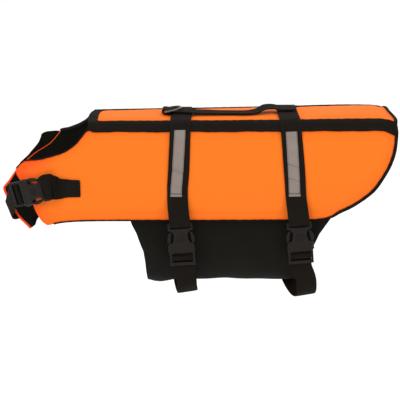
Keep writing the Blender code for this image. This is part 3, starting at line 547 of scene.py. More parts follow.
def lining(name, base):
    """Matt black cloth: a fine even weave with soft wrinkles and a little dust."""
    nodes = Nodes(name)
    place = nodes.place()
    height = nodes.plain_weave(0.0011)
    dust = nodes.ramp(nodes.noise(place, 30.0, 4.0, 0.6), 0.42, 0.75)
    # dust paler at random; the weave's crests get a painted highlight
    tone = nodes.tints(base, (dust, 0.35, 2.6), (height, 0.3, 1.9))
    rough = nodes.math("MULTIPLY_ADD", dust, 0.12, 0.80)
    soft = nodes.bump(nodes.noise(place, 60.0, 3.0, 0.6), 0.0012, 0.35)
    return nodes.finish(tone, rough, nodes.bump(height, 0.00025, 0.5, soft),
                        Specular_IOR_Level=0.07, Sheen_Weight=0.01, Sheen_Roughness=0.6)


def webbing(name, base, rib=0.0015, herring=0.0062):
    """Webbing: slanted ribs that turn at each herringbone column, with a painted highlight on
    their crests.
    """
    nodes = Nodes(name)
    place = nodes.place()
    along, across = nodes.cloth_place()
    column = nodes.math("PINGPONG", across, herring / 2)
    ribs = nodes.wave(nodes.math("ADD", along, nodes.math("MULTIPLY", column, 0.7)), rib)
    height = nodes.math("MULTIPLY_ADD", nodes.wave(across, herring / 2), 0.45, ribs)
    fuzz = nodes.noise(place, 1400.0, 2.0)
    dust = nodes.ramp(nodes.noise(place, 55.0, 4.0, 0.6), 0.4, 0.8)
    # painted highlight on the ribs' crests; dust paler at random
    tone = nodes.tints(base, (ribs, 0.55, 2.1), (dust, 0.25, 2.4))
    rough = nodes.math("MULTIPLY_ADD", fuzz, 0.14, 0.74)
    soft = nodes.bump(fuzz, 0.0002, 0.2)
    return nodes.finish(tone, rough, nodes.bump(height, 0.0003, 0.45, soft),
                        Specular_IOR_Level=0.04)


def binding(name, base):
    """Narrow webbing with finer ribs."""
    return webbing(name, base, 0.0010, 0.0036)


def reflective(name, base):
    """Reflective band: glass beads in a fine diamond net, with faint rubbed patches, and painted
    shade from the mesh in its creases and along its hem's fold.
    """
    nodes = Nodes(name)
    place = nodes.place()
    along, across = nodes.cloth_place()
    net = nodes.math("MAXIMUM", *(nodes.wave(nodes.math(way, along, across), 0.0022)
                                  for way in ("ADD", "SUBTRACT")))
    line = nodes.ramp(net, 0.86, 1.0)
    beads = nodes.noise(place, 2600.0, 1.0)
    rubbed = nodes.ramp(nodes.noise(place, 34.0, 4.0, 0.62), 0.36, 0.72)
    tone = nodes.tints(base, (rubbed, 0.5, 0.72), (line, 0.22, 0.6), (beads, 0.22, 1.35))
    # painted shade from the mesh: darker in the band's creases and along its hem's fold
    tone = nodes.mix(nodes.attribute("worn"), tone, scaled(base, 0.45))
    rough = nodes.math("MULTIPLY_ADD", rubbed, 0.18, 0.34)
    normal = nodes.bump(nodes.math("MULTIPLY_ADD", beads, 0.6, line), 0.00012, 0.5)
    return nodes.finish(tone, rough, normal, Metallic=0.15, Specular_IOR_Level=0.35)


def plastic(name, base):
    """Moulded plastic: a fine spark-eroded grain, scuffed paler and duller in patches."""
    nodes = Nodes(name)
    place = nodes.place()
    scuff = nodes.ramp(nodes.noise(place, 140.0, 5.0, 0.7), 0.52, 0.74)
    rough = nodes.math("MULTIPLY_ADD", scuff, 0.18, 0.34)
    normal = nodes.bump(nodes.noise(place, 2200.0, 2.0), 0.00008, 0.35)
    return nodes.finish(nodes.tints(base, (scuff, 0.4, 2.2)), rough, normal,
                        Specular_IOR_Level=0.18)


def steel(name, base):
    """Plated steel: faint drawing marks and dull spots."""
    nodes = Nodes(name)
    place = nodes.place()
    dull = nodes.ramp(nodes.noise(place, 420.0, 4.0, 0.6), 0.45, 0.75)
    rough = nodes.math("MULTIPLY_ADD", dull, 0.2, 0.26)
    normal = nodes.bump(nodes.noise(place, 1500.0, 2.0), 0.00004, 0.4)
    return nodes.finish(nodes.tints(base, (dull, 0.3, 0.6)), rough, normal, Metallic=1.0)


def sewing_thread(name, base):
    """Twisted thread: a fine grain of strands."""
    nodes = Nodes(name)
    strands = nodes.noise(nodes.place(), 3200.0, 1.0)
    return nodes.finish(nodes.mix(strands, base, scaled(base, 1.8)), None,
                        nodes.bump(strands, 0.0001, 0.4), Roughness=0.6, Specular_IOR_Level=0.25)


def pale_floor(name, base):
    """Pale matt floor with the faintest unevenness."""
    nodes = Nodes(name)
    mottle = nodes.noise(nodes.place(), 3.0, 3.0)
    return nodes.finish(nodes.tints(base, (mottle, 0.1, 0.97)), None, None,
                        Roughness=0.9, Specular_IOR_Level=0.1)


FINISHES = {  # material: (its maker, the colours it takes)
    "outer_nylon": (nylon, "orange", "orange_shade"), "lining_cloth": (lining, "lining"),
    "strap_webbing": (webbing, "webbing"), "edge_binding": (binding, "webbing"),
    "reflective_grey": (reflective, "reflective"), "buckle_plastic": (plastic, "plastic"),
    "ring_steel": (steel, "steel"), "sewing_thread": (sewing_thread, "thread"),
    "pale_floor": (pale_floor, "floor")}


def finish_of(name):
    """The jacket's material of that name, made the first time it is asked for."""
    maker, *paints = FINISHES[name]
    return bpy.data.materials.get(name) or maker(
        name, *(tuple(getattr(colours(), paint)) for paint in paints))


# ---------------------------------------------------------------- meshes


def grid_faces(n, m, start=0, closed=False):
    """Quads of a grid of n rows and m columns. Closed joins the last row to the first."""
    rows = np.arange(n if closed else n - 1)[:, None]
    cols = np.arange(m - 1)[None]
    after = (rows + 1) % n
    quads = [rows * m + cols, after * m + cols, after * m + cols + 1, rows * m + cols + 1]
    return np.stack(np.broadcast_arrays(*quads), -1).reshape(-1, 4) + start


def outward(verts, faces):
    """The faces, turned round if the volume that they close is negative."""
    a, b, c = (verts[faces[:, k]] for k in (0, 1, 2))
    volume = np.einsum("ij,ij->i", a, np.cross(b, c)).sum()
    if faces.shape[1] == 4:
        d = verts[faces[:, 3]]
        volume += np.einsum("ij,ij->i", a, np.cross(c, d)).sum()
    return faces if volume > 0 else faces[:, ::-1]


def link(name, data):
    """Object of a mesh, light or camera, linked to the scene."""
    obj = bpy.data.objects.new(name, data)
    bpy.context.scene.collection.objects.link(obj)
    return obj


def raw_mesh(name, verts, faces):
    """Mesh from points in millimetres and blocks of faces."""
    mesh = bpy.data.meshes.new(name)
    mesh.from_pydata((np.asarray(verts) * MM).tolist(), [],
                     [face.tolist() for block in faces for face in block])
    return mesh


def put_mesh(name, verts, faces, finish, uv=None, worn=None):
    """Smooth mesh object from points in millimetres, with its cloth map and painted shade."""
    mesh = raw_mesh(name, verts, faces)
    mesh.polygons.foreach_set("use_smooth", np.ones(len(mesh.polygons), bool))
    if uv is not None:
        corner = np.zeros(len(mesh.loops), np.int32)
        mesh.loops.foreach_get("vertex_index", corner)
        layer = mesh.uv_layers.new(name="cloth")
        layer.data.foreach_set("uv", (np.asarray(uv)[corner] * MM).astype(np.float32).ravel())
    level = np.zeros(len(verts)) if worn is None else np.asarray(worn, float)
    # per-point painted shade, which the nylon and reflective materials darken by
    attribute = mesh.attributes.new("worn", "FLOAT", "POINT")
    attribute.data.foreach_set("value", level.astype(np.float32))
    mesh.materials.append(finish_of(finish))
    mesh.update()
    return link(name, mesh)


def rim_of(n, m):
    """Indices round the edge of an n by m grid, and of the points just inside it."""
    rows = np.concatenate([np.arange(n), np.full(m - 1, n - 1), np.arange(n - 2, -1, -1),
                           np.zeros(m - 2, int)])
    cols = np.concatenate([np.zeros(n, int), np.arange(1, m), np.full(n - 1, m - 1),
                           np.arange(m - 2, 0, -1)])
    inside = np.clip(rows, 1, n - 2) * m + np.clip(cols, 1, m - 2)
    return rows * m + cols, inside


def shell(outer, inner, uv, worn=None, swell=1.0, rounds=3):
    """Closed cloth between two grids of points. Its rim swells outward as half a circle: at share
    t of the way from outer to inner it stands off by swell times half the thickness times
    sin(pi t)."""
    n, m = outer.shape[:2]
    top = outer.reshape(-1, 3)
    base = inner.reshape(-1, 3)
    rim, inside = rim_of(n, m)
    across = base[rim] - top[rim]
    thick = np.linalg.norm(across, axis=1, keepdims=True)
    away = top[rim] - top[inside]
    through = unit(across)
    away = unit(away - (away * through).sum(1, keepdims=True) * through)
    shares = (np.arange(rounds) + 1) / (rounds + 1)
    stand = away * thick / 2 * swell
    rings = [top[rim] + across * (1 - np.cos(pi * t)) / 2 + stand * np.sin(pi * t)
             for t in shares]
    verts = np.vstack([top, base, *rings])
    half = n * m
    count = len(rim)
    chain = [rim, *[2 * half + k * count + np.arange(count) for k in range(rounds)], rim + half]
    sides = [np.stack([np.roll(a, -1), a, b, np.roll(b, -1)], 1)
             for a, b in zip(chain, chain[1:])]
    faces = np.vstack([grid_faces(n, m), grid_faces(n, m, half)[:, ::-1], *sides])
    flat = np.asarray(uv, float).reshape(-1, 2)
    maps = np.vstack([flat, flat, *([flat[rim]] * rounds)])
    painted_shading = None
    # painted shade of each point, repeated round the rim
    if worn is not None:
        painted_shading = np.asarray(worn, float).ravel()
        painted_shading = np.concatenate([painted_shading, painted_shading, *([painted_shading[rim]] * rounds)])
    return verts, outward(verts, faces), maps, painted_shading


def tube(rings, closed=False):
    """Closed skin round rings of points. Open ends are closed by a cap of one face."""
    n, m = rings.shape[:2]
    wrapped = grid_faces(n, m + 1, closed=closed)
    rows, cols = wrapped // (m + 1), wrapped % (m + 1) % m
    faces = rows * m + cols
    verts = rings.reshape(-1, 3)
    caps = [] if closed else [np.arange(m)[None, ::-1], (n - 1) * m + np.arange(m)[None]]
    turned = outward(verts, faces)
    if not closed and not np.array_equal(turned, faces):
        caps = [cap[:, ::-1] for cap in caps]
    return verts, [turned, *caps]


def cloth_map(points):
    """Distance along and across a grid of points, for its cloth map."""
    along = np.linalg.norm(np.diff(points, axis=0), axis=2).mean(1)
    across = np.linalg.norm(np.diff(points, axis=1), axis=2).mean(0)
    u = np.concatenate([[0], np.cumsum(along)])
    v = np.concatenate([[0], np.cumsum(across)])
    return np.stack(np.meshgrid(u, v, indexing="ij"), -1)


def normals_of(points):
    """Unit normals of a grid of points, by its two directions."""
    return unit(np.cross(np.gradient(points, axis=0), np.gradient(points, axis=1)))


def settle(piece, node, slot):
    """Lets a piece ride on the jacket in place of its CAD node; its slot argument is not used."""
    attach(piece, "jacket")
    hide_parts(node)
    return piece


KINDS = {  # kind of cloth: (ending of the piece's name, material, slot)
    "outer": ("cloth", "outer_nylon", "orange_cloth"),
    "lining": ("cloth", "lining_cloth", "black_lining"),
    "webbing": ("webbing", "strap_webbing", "black_webbing"),
    "band": ("band", "reflective_grey", "reflective_band")}


def cloth_piece(kind, node, outer, inner, uv=None, worn=None, swell=1.0, name=None):
    """Closed piece of cloth between two grids of points, in place of its CAD node."""
    ending, finish, slot = KINDS[kind]
    verts, faces, uv, worn = shell(outer, inner, cloth_map(outer) if uv is None else uv, worn,
                                   swell)
    piece = put_mesh(name or f"{node}_{ending}", verts, [faces], finish, uv, worn)
    return settle(piece, node, slot)


# ---------------------------------------------------------------- curves in space


def curve_through(points, step):
    """Natural cubic through points of any dimension by chord length, at about even steps."""
    p = np.asarray(points, float)
    run = running(p[:, :3])
    fine = np.linspace(0, run[-1], int(run[-1] / step * 4) + 2)
    curve = np.stack([spline(np.stack([run, p[:, k]], 1), fine) for k in range(p.shape[1])], 1)
    at = running(curve[:, :3])
    want = np.linspace(0, at[-1], max(int(round(at[-1] / step)), 2) + 1)
    return np.stack([np.interp(want, at, curve[:, k]) for k in range(curve.shape[1])], 1)


def band(path, across, thick, width, columns=11):
    """Two grids of points of a flat band along a path, thinner toward its selvedges: at share v of
    the half width its thickness is thick times (1 - 0.3 v^6)."""
    along = unit(np.gradient(path, axis=0))
    across = unit(across - (across * along).sum(1, keepdims=True) * along)
    out = np.cross(along, across)
    width = np.broadcast_to(np.asarray(width, float), len(path))
    v = np.sin(np.linspace(-pi / 2, pi / 2, columns))
    half = (thick / 2 * (1 - 0.3 * np.abs(v) ** 6))[None, :, None]
    middle = path[:, None] + across[:, None] * (v[None, :, None] * (width / 2)[:, None, None])
    return middle + out[:, None] * half, middle - out[:, None] * half


def webbing_piece(node, path, thick=WEB, width=STRAP_WIDTH, columns=11):
    """Band of webbing along a path of places and width directions, as its two faces."""
    front, back = band(path[:, :3], path[:, 3:6], thick, width, columns)
    cloth_piece("webbing", node, front, back)
    return front, back


def frame_of(origin, along, width):
    """Origin with its unit directions along, across and out of a strap."""
    along = unit(np.asarray(along, float))
    width = np.asarray(width, float)
    width = unit(width - width @ along * along)
    return np.asarray(origin, float), along, width, np.cross(width, along)


def in_frame(frame, table):
    """Points of an (along, out) table in a buckle's frame, with the strap's width direction."""
    origin, along, width, out = frame
    t = np.array(table, float)
    points = origin + t[:, :1] * along + t[:, 1:] * out
    return np.hstack([points, np.tile(width, (len(t), 1))])


# ---------------------------------------------------------------- sewing

GRAIN = np.array([(0.0, 0.0), (0.22, 0.8), (0.5, 1.0), (0.78, 0.8), (1.0, 0.0)])


def grains(starts, ends, ups, thread, bow=0.5):
    """Stitches as grains of thread: each runs from its start to its end, four-sided, with its
    middle raised along up by bow threads as the sine of its course."""
    starts, ends, ups = (np.asarray(a, float) for a in (starts, ends, ups))
    along = ends - starts
    side = unit(np.cross(along, ups))
    ups = unit(ups)
    rings = []
    for t, swell in GRAIN:
        centre = starts + along * t + ups * (thread * bow * (np.sin(pi * t) - 0.35))
        turns = [0.0] if swell == 0 else np.arange(4) * pi / 2 + pi / 4
        for turn in turns:
            rings.append(centre + (side * np.cos(turn) + ups * np.sin(turn))
                         * (thread / 2 * swell))
    verts = np.stack(rings, 1)
    ring = np.arange(4)
    turned = (ring + 1) % 4
    quads = np.vstack([np.stack([k + ring, k + turned, k + 4 + turned, k + 4 + ring], 1)
                       for k in (1, 5)])
    caps = np.vstack([np.stack([0 * ring, 1 + turned, 1 + ring], 1),
                      np.stack([9 + ring, 9 + turned, 0 * ring + 13], 1)])
    count, each = verts.shape[:2]
    offset = (np.arange(count) * each)[:, None, None]
    return verts.reshape(-1, 3), [(quads[None, :, ::-1] + offset).reshape(-1, 4),
                                  (caps[None, :, ::-1] + offset).reshape(-1, 3)]


def stitch_line(points, ups, wander=0.12, lead=0.4):
    """Starts, ends and ups of even stitches along a line, a little uneven from one to the next."""
    plan = sizes()
    step, stitch = plan.stitch_step / MM, plan.stitch / MM
    both = np.hstack([np.asarray(points, float), np.asarray(ups, float)])
    total = length_of(points)
    k = np.arange(max(int(total / step), 1))
    begin = (k * step + lead + wander * np.sin(12.9898 * k + 1.3)) / total
    finish = (k * step + lead + stitch + wander * np.sin(7.233 * k + 0.4)) / total
    run = running(points) / total
    first, last = (np.stack([np.interp(at, run, both[:, c]) for c in range(6)], 1)
                   for at in (begin, np.minimum(finish, 1)))
    return first[:, :3], last[:, :3], first[:, 3:]


def sew(name, lines, raise_by=0.0):
    """One piece of all the stitches along lines of (points, ups)."""
    parts = [stitch_line(points, ups) for points, ups in lines]
    starts, ends, ups = (np.vstack([part[k] for part in parts]) for k in range(3))
    lift = unit(ups) * raise_by
    verts, faces = grains(starts + lift, ends + lift, ups, sizes().thread / MM)
    piece = put_mesh(name, verts, faces, "sewing_thread", uv=verts[:, :2])
    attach(piece, "jacket")
    return piece


def grid_lines(grid, columns=(), rows=(), centre_z=-90.0):
    """Lines of a grid's points with their normals, which face away from a centre line along the
    jacket, for sewing."""
    up = normals_of(grid)
    away = grid * (0, 1, 1) - (0, 0, centre_z)
    sign = np.sign((up * away).sum(-1, keepdims=True))
    up = up * np.where(sign == 0, 1, sign)
    return [(grid[:, c], up[:, c]) for c in columns] + [(grid[r], up[r]) for r in rows]


# ---------------------------------------------------------------- straps and buckles, mm
BACKWARD = (1.0, 0.0, 0.0)     # width direction of a girth strap
UPWARD = (0.0, 0.0, 1.0)       # and of the short chest strap
STRAP_MID = 1.0                # lift of a girth strap's mid plane over the form
BUCKLE_LIFT = 4.1              # the same at the buckle's bar
BUCKLE_TOP_H = 178.6           # distance down the side of that bar
STRAP_RISE_H = (139.0, 166.0)  # distance down the side where the strap rises toward it
STRAP_RISE = 4.41              # and how far
SLACK_SLANT = 0.2              # slant of the slack loop's width where it hangs lowest
# reflective bands: distance from the spine of the upper and lower end, and their shift there
# toward the neck
STRIPS = {"front": ((61.0, 142.0), (0.2, 1.7)), "rear": ((67.0, 143.5), (0.1, 1.7))}
BAND_CREASES = {  # (distance from the spine, depth, half width)
    "front": [(112.0, 0.3, 1.2)], "rear": [(107.0, 0.42, 1.0), (124.0, 0.38, 1.1)]}

# middle of each girth strap: (across, s)
FRONT_STRAP = [(-174, 71.2), (-150, 73.4), (-132, 73.4), (-110, 71.8), (-80, 70.6),
               (-40, 69.5), (0, 68.6), (60, 68.8), (120, 69.0), (180, 69.0)]
REAR_STRAP = [(-174, -77.0), (-150, -74.6), (-125, -72.6), (-100, -70.4), (-60, -67.2),
              (-40, -66.5), (-20, -66.2), (0, -66.4), (60, -68.4), (120, -69.4), (180, -69.0)]
# the loops that hang below the buckles: (shift toward the tail, y, z)
FRONT_SLACK = [(3.0, -65.0, -194.0), (4.5, -58.0, -209.0), (5.5, -46.0, -219.5),
               (5.0, -30.0, -227.0), (2.0, -12.0, -225.5)]
REAR_SLACK = [(5.5, -66.0, -195.0), (9.5, -59.5, -212.0), (11.5, -48.0, -223.5),
              (10.5, -32.0, -230.5), (3.5, -12.0, -226.0)]
GIRTH_END = (-70.0, -177.5)    # y and z that the girth buckles point to
GIRTHS = [  # (word, middle, x of the buckle's bar and of its far end, loop)
    ("front", FRONT_STRAP, (-70.6, -66.8), FRONT_SLACK),
    ("rear", REAR_STRAP, (78.6, 83.6), REAR_SLACK)]
BELLY_TURNS = (2, 13, 24, 35, 46, 57, 68)   # degrees at which a strap is led under the belly
# the webbing's turns round the bars of each half of a buckle: (along, out)
FEMALE_WRAP = [(-7.0, 2.3), (0.0, 3.0), (2.5, 2.3), (3.5, 0.0),
               (2.5, -2.3), (0.0, -3.0), (-5.0, -2.2), (-10.0, -0.8)]
MALE_WRAP = [(60.0, -2.5), (52.05, -2.6), (49.65, -1.7), (48.35, 0.0), (47.05, 1.9),
             (44.75, 2.75), (42.45, 1.9), (41.5, 0.0), (40.6, -1.5), (39.0, -2.6),
             (36.5, -2.6)]

BELLY_TOP_Z = -107.5           # height at which the belly's arc ends on both sides
BELLY_DROP = 111.0             # from there down to the belly's lowest line
BELLY_TUCK = 9.3               # how far inside the hems its sides lie
BELLY_WALL = 2.0               # thickness of the belly panel
BELLY_DROOP = 3.6              # how much lower it sags behind its front edge
BELLY_SAG = [  # (x, share of the droop)
    (-116, 0), (-111, 0.45), (-105, 0.9), (-97, 1.0), (-89, 0.6), (-82, 0.15), (-77, 0)]
BELLY_EDGES = [  # (turn, front x, rear x)
    (0, -138.5, 127), (5, -134.5, 120), (11, -130.8, 112.5), (17, -125.5, 105.5),
    (26.5, -120.4, 99), (32, -117.2, 97), (43, -115.3, 92.5), (62, -114.3, 85.5),
    (90, -113.5, 81)]

CHEST_Z = -77.4                # height of the short chest strap's middle
# the chest buckle: middle of its bar, direction and width direction
CHEST_BUCKLE = ((-237.0, -73.0, -77.0), (-0.858, 0.470, -0.28), (0.10, -0.10, 0.97))
# the short chest strap where it is sewn on: (s, width)
CHEST_SEWN = [(195.5, 21.0), (204.0, 21.3), (213.0, 23.8), (221.0, 28.0)]
CHEST_RIGHT_Z = -100.0
# middle of the right chest strap, from the front of the chest back: (s, distance down the side
# below the place at height CHEST_RIGHT_Z)
CHEST_RIGHT = [(316, 28), (306, 29), (295, 28), (282, 24), (268, 20), (254, 16),
               (240, 13), (226, 12)]
# where its free part turns in front of the chest: middle and width direction
CHEST_TURN = ((-296.5, -3.0, -123.0), (-0.40, 0.50, 0.77))

# the handle: (x, y, rise over the spine, tilt in degrees)
HANDLE = [(-75.5, -8, 3.8, 0), (-62, -9, 3.8, 0), (-53, -12, 3.4, 0), (-40, -13, 2.9, 0),
          (-22, -14, 2.3, -1), (-5, -15, 2.2, -2), (10, -16, 2.1, -2), (20, -15, 2.2, 0),
          (29, -12, 3.8, 3), (36, -10, 6.6, 5), (43, -8, 7.4, 5), (50, -7, 6.8, 4),
          (57, -6, 5.0, 2), (64, -5, 3.9, 0), (75.5, -4, 3.8, 0)]
HANDLE_WIDTH = 21.5
HANDLE_THICK = 2.0
RING_X = -90.5                 # place of the ring's bar
RING_Y = -7.0
RING_RISE = 4.1                # height of the bar over the spine
RING_HALF = 14.5               # radius of its bow and half the length of its bar
RING_LEG = 6.5                 # straight part of its two sides
RING_CORNER = 2.0
RING_LEAN = 11.0               # degrees
TAB_WIDTH = 22.0
# the folded tab round the bar: (x, rise over the spine)
TAB = [(-82.2, 1.4), (-86.5, 1.35), (-90.5, 1.25), (-92.6, 2.1), (-93.4, 4.1), (-92.6, 6.1),
       (-90.5, 6.95), (-86.5, 6.3), (-82.5, 4.9), (-79.5, 3.75), (-77.0, 3.5)]


def girth_frame(x, x_end):
    """Frame of a girth buckle that hangs from the left hem."""
    top = skin(-1, -x, BUCKLE_TOP_H, BUCKLE_LIFT)
    return frame_of(top, (x_end, *GIRTH_END) - top, (-1, 0, 0))


def chest_frame():
    """Frame of the chest buckle."""
    return frame_of(*CHEST_BUCKLE)


def depth_at(z):
    """Distance down the side, at the start of the chest, where the form has height z."""
    drop = SPINE_Z + spline(CREST, -NOSE_START) - z
    return float(np.interp(drop, DOWN, STEP))


def spine_z(x):
    """Height of the form's outer face over the spine."""
    return SPINE_Z + spline(CREST, x)


def mirrored(line):
    """The same line of (s, h) on the left side, as (s, across)."""
    return np.stack([line[:, 0], -line[:, 1]], 1)


# ---------------------------------------------------------------- cloth surfaces

# creases: (side, s and h of one end, s and h of the other, depth share, half width,
# bow of its middle). A negative depth is a ridge.
CREASES = [
    (-1, 222, 104, 246, 128, 0.55, 5.0, 3.0), (-1, 210, 172, 236, 150, 0.8, 6.0, -3.0),
    (-1, 236, 176, 250, 158, 0.6, 4.0, 2.0), (-1, 226, 160, 214, 140, 0.5, 5.0, 2.0),
    (-1, 168, 172, 158, 150, 0.5, 7.0, 2.0), (-1, 138, 173, 146, 154, -0.35, 7.0, -2.0),
    (-1, 118, 173, 112, 158, 0.45, 7.0, 1.0), (-1, 44, 78, 20, 96, 0.35, 9.0, 3.0),
    (-1, -20, 150, 6, 166, 0.4, 9.0, -3.0), (-1, -104, 84, -128, 100, 0.45, 8.0, 3.0),
    (-1, -120, 150, -144, 138, 0.5, 7.0, -2.0), (-1, 88, 66, 110, 84, 0.3, 8.0, -3.0),
    (1, 228, 98, 250, 124, 0.5, 5.5, 3.0), (1, 214, 170, 240, 148, 0.8, 6.0, -3.0),
    (1, 262, 186, 280, 160, 0.7, 6.0, 3.0), (1, 290, 196, 300, 170, 0.5, 6.0, -2.0),
    (1, 162, 171, 152, 151, 0.5, 7.0, 2.0), (1, 132, 172, 140, 156, -0.35, 7.0, -2.0),
    (1, 36, 80, 12, 98, 0.35, 9.0, 3.0), (1, -14, 150, 10, 167, 0.4, 9.0, -3.0),
    (1, -108, 86, -134, 102, 0.45, 8.0, 3.0), (1, -122, 149, -146, 136, 0.5, 7.0, -2.0)]


def edge_place(points, edges):
    """Distance from each (s, h) point to the nearest edge, and how far along the edges that is."""
    line = np.vstack(edges)
    a = line[:-1]
    ab = np.diff(line, axis=0)
    keep = (ab ** 2).sum(1) > 1e-9
    start = running(line)[:-1][keep]
    a, ab = a[keep], ab[keep]
    p = points.reshape(-1, 2)
    t = np.clip(((p[:, None] - a) * ab).sum(2) / (ab ** 2).sum(1), 0, 1)
    d = np.linalg.norm(p[:, None] - a - t[..., None] * ab, axis=2)
    near = d.argmin(1)
    row = np.arange(len(p))
    run = start[near] + t[row, near] * np.linalg.norm(ab, axis=1)[near]
    return d[row, near].reshape(points.shape[:-1]), run.reshape(points.shape[:-1])


def gathers(distance, run, flat):
    """Uneven gathers square to an edge: two sines of the run whose pitch drifts, fading inward."""
    plan = sizes()
    beat = (np.sin(2 * pi * run / 6.7 + 1.9 * np.sin(2 * pi * run / 43))
            + 0.7 * np.sin(2 * pi * run / 10.3 + 2.3 * np.sin(2 * pi * run / 71 + 1)))
    swell = 0.55 + 0.45 * np.sin(2 * pi * run / 89 + 0.7 * np.sin(run / 31))
    reach = plan.pucker_reach / MM * (0.75 + 0.35 * np.sin(2 * pi * run / 27 + 1.1))
    inward = np.clip(distance / flat, 0, 1) ** 2 * np.exp(-(np.maximum(distance - flat, 0)
                                                            / reach) ** 2)
    return -plan.pucker / MM * swell * (0.5 + beat / 3.4) * inward


def creases(side, s, h):
    """Lift of the listed creases: each a soft trough along a bowed line, deepest in its middle
    and fading out at both ends."""
    depth_all = sizes().crease / MM
    lift = np.zeros(s.shape)
    for own, s0, h0, s1, h1, share, half, bow in CREASES:
        if own != side:
            continue
        size = np.hypot(s1 - s0, h1 - h0)
        us, uh = (s1 - s0) / size, (h1 - h0) / size
        t = ((s - s0) * us + (h - h0) * uh) / size
        off = (h - h0) * us - (s - s0) * uh - bow * np.sin(pi * np.clip(t, 0, 1))
        ends = ease(np.minimum(t + 0.25, 1.25 - t) / 0.6)
        lift -= depth_all * share * ends * np.exp(-(off / half) ** 2)
    return lift


def pressed(s, across, flat_to=12.5, fade=8.0):
    """How far the girth straps press into the foam at a place on the jacket."""
    press = np.zeros(s.shape)
    for table in (FRONT_STRAP, REAR_STRAP):
        at, centre = np.array(table, float).T
        off = np.abs(s - np.interp(across, at, centre)) - flat_to
        press = np.maximum(press, ease(1 - off / fade))
    return press * sizes().press / MM


def unevenness(s, h):
    """Broad soft unevenness of foam between its layers: three slanted sines."""
    return (0.22 * np.sin(s / 23.0 + h / 41.0) + 0.2 * np.sin(h / 17.0 - s / 59.0 + 1.0)
            + 0.12 * np.sin(s / 11.0 + h / 13.0 + 2.0))


def side_patch(side, n, m):
    """Grid of (s, h) over a side panel with its four edges."""
    seam, neck, front, hem, rear = outline(side)
    top = np.vstack([seam[:-1], neck])
    bend = np.linspace(0, 1, m)
    vs = 0.5 - 0.5 * np.cos(pi * bend) * (0.35 + 0.65 * np.abs(np.cos(pi * bend)) ** 0.2)
    vs = (vs - vs[0]) / (vs[-1] - vs[0])
    vs = 0.6 * bend + 0.4 * vs
    us = np.linspace(0, 1, n)
    return patch(top, front, hem, rear, us, vs), seam, [neck, front, hem, rear]


def foam_lift(side, s, h, seam, others):
    """Lift of a side panel's outer face, and the painted shade of its cloth: darker by its edges
    and seam, and toward the chest's front where the panel turns away from the light.
    """
    points = np.stack([s, h], -1)
    edge, run = edge_place(points, others)
    by_seam, seam_run = edge_place(points, [seam])
    lift = np.minimum(puff(edge, EDGE_FLAT), puff(by_seam, SEAM_FLAT))
    full = np.clip((lift - EDGE_OUT) / (FULL_OUT - EDGE_OUT), 0, 1)
    lift = lift + gathers(edge, run, EDGE_FLAT) + gathers(by_seam, seam_run, SEAM_FLAT)
    lift = lift + full * (unevenness(s, h) + creases(side, s, h)) - full * pressed(s, side * h)
    # painted shade: darker along the bound edges and by the taped seam, and more and more toward
    # the chest's front
    painted_shading = 0.35 * np.exp(-edge / 5.0) + 0.25 * np.exp(-np.maximum(by_seam - 9, 0) / 4.0)
    painted_shading = painted_shading + np.clip((s - 224.0) / 50.0, 0, 1) * 0.7
    return lift, np.clip(painted_shading, 0, 1)


def cut_of(line):
    """Smallest rectangle round the cut inside a closed line, and the cut's area, in metres."""
    p = np.asarray(line, float) * MM
    turn = np.radians(np.arange(0, 90, 1.0))
    x = p[:, :1] * np.cos(turn) + p[:, 1:] * np.sin(turn)
    y = p[:, 1:] * np.cos(turn) - p[:, :1] * np.sin(turn)
    width, length = np.ptp(x, axis=0), np.ptp(y, axis=0)
    best = int((width * length).argmin())
    area = abs((p[:, 0] * np.roll(p[:, 1], -1) - np.roll(p[:, 0], -1) * p[:, 1]).sum()) / 2
    return (float(width[best]), float(length[best])), float(area)


def side_piece(side, word):
    """Foam side panel in orange cloth: the form's skin lifted by its foam, sewn edges and
    creases."""
    grid, seam, others = side_patch(side, *SIDE_GRID)
    s, h = np.moveaxis(grid, -1, 0)
    lift, painted_shading = foam_lift(side, s, h, seam, others)
    piece = cloth_piece("outer", f"side_panel_{word}", skin(side, s, h, lift),
                        skin(side, s, h, PANEL_IN), grid, painted_shading, swell=0.2)


def side_lining_piece(side, word):
    """Lining of a side panel: the form's skin at the lining's lift, with small slack folds."""
    grid, seam, others = side_patch(side, *SIDE_LINING_GRID)
    s, h = np.moveaxis(grid, -1, 0)
    free = np.clip(edge_place(grid, [seam, *others])[0] / 14, 0, 1)
    slack = free * (0.35 * np.sin(s / 9.0 + 2 * np.sin(h / 21.0))
                    + 0.3 * np.sin(h / 8.0 + 1.5 * np.sin(s / 33.0)))
    piece = cloth_piece("lining", f"side_lining_{word}", skin(side, s, h, LINING_OUT),
                        skin(side, s, h, LINING_IN - 0.3 * free + slack * 0.6), grid)
    flat, area = cut_of(np.vstack([seam, *others]))


def rear_bow(share):
    """How far the back's rear edge lies from REAR_END at a share of the way to a side seam: the
    quartic 6.6 v^4 - 7 v^2 + 0.4."""
    return 6.6 * share ** 4 - 7.0 * share ** 2 + 0.4


def back_patch(n, m):
    """Grid of (s, across) over the back panel."""
    us = np.linspace(0, 1, n)[:, None]
    vs = np.linspace(-1, 1, m)[None]
    length = NECK_END - REAR_END
    s = REAR_END + us * length + NECK_BULGE * us * (1 - vs ** 2)
    s = s + rear_bow(vs) * (1 - us) ** 8
    across = (BACK_HALF + flare(s)) * vs
    return s, across, np.minimum(us, 1 - us) * length, (BACK_HALF + flare(s)) * (1 - np.abs(vs))


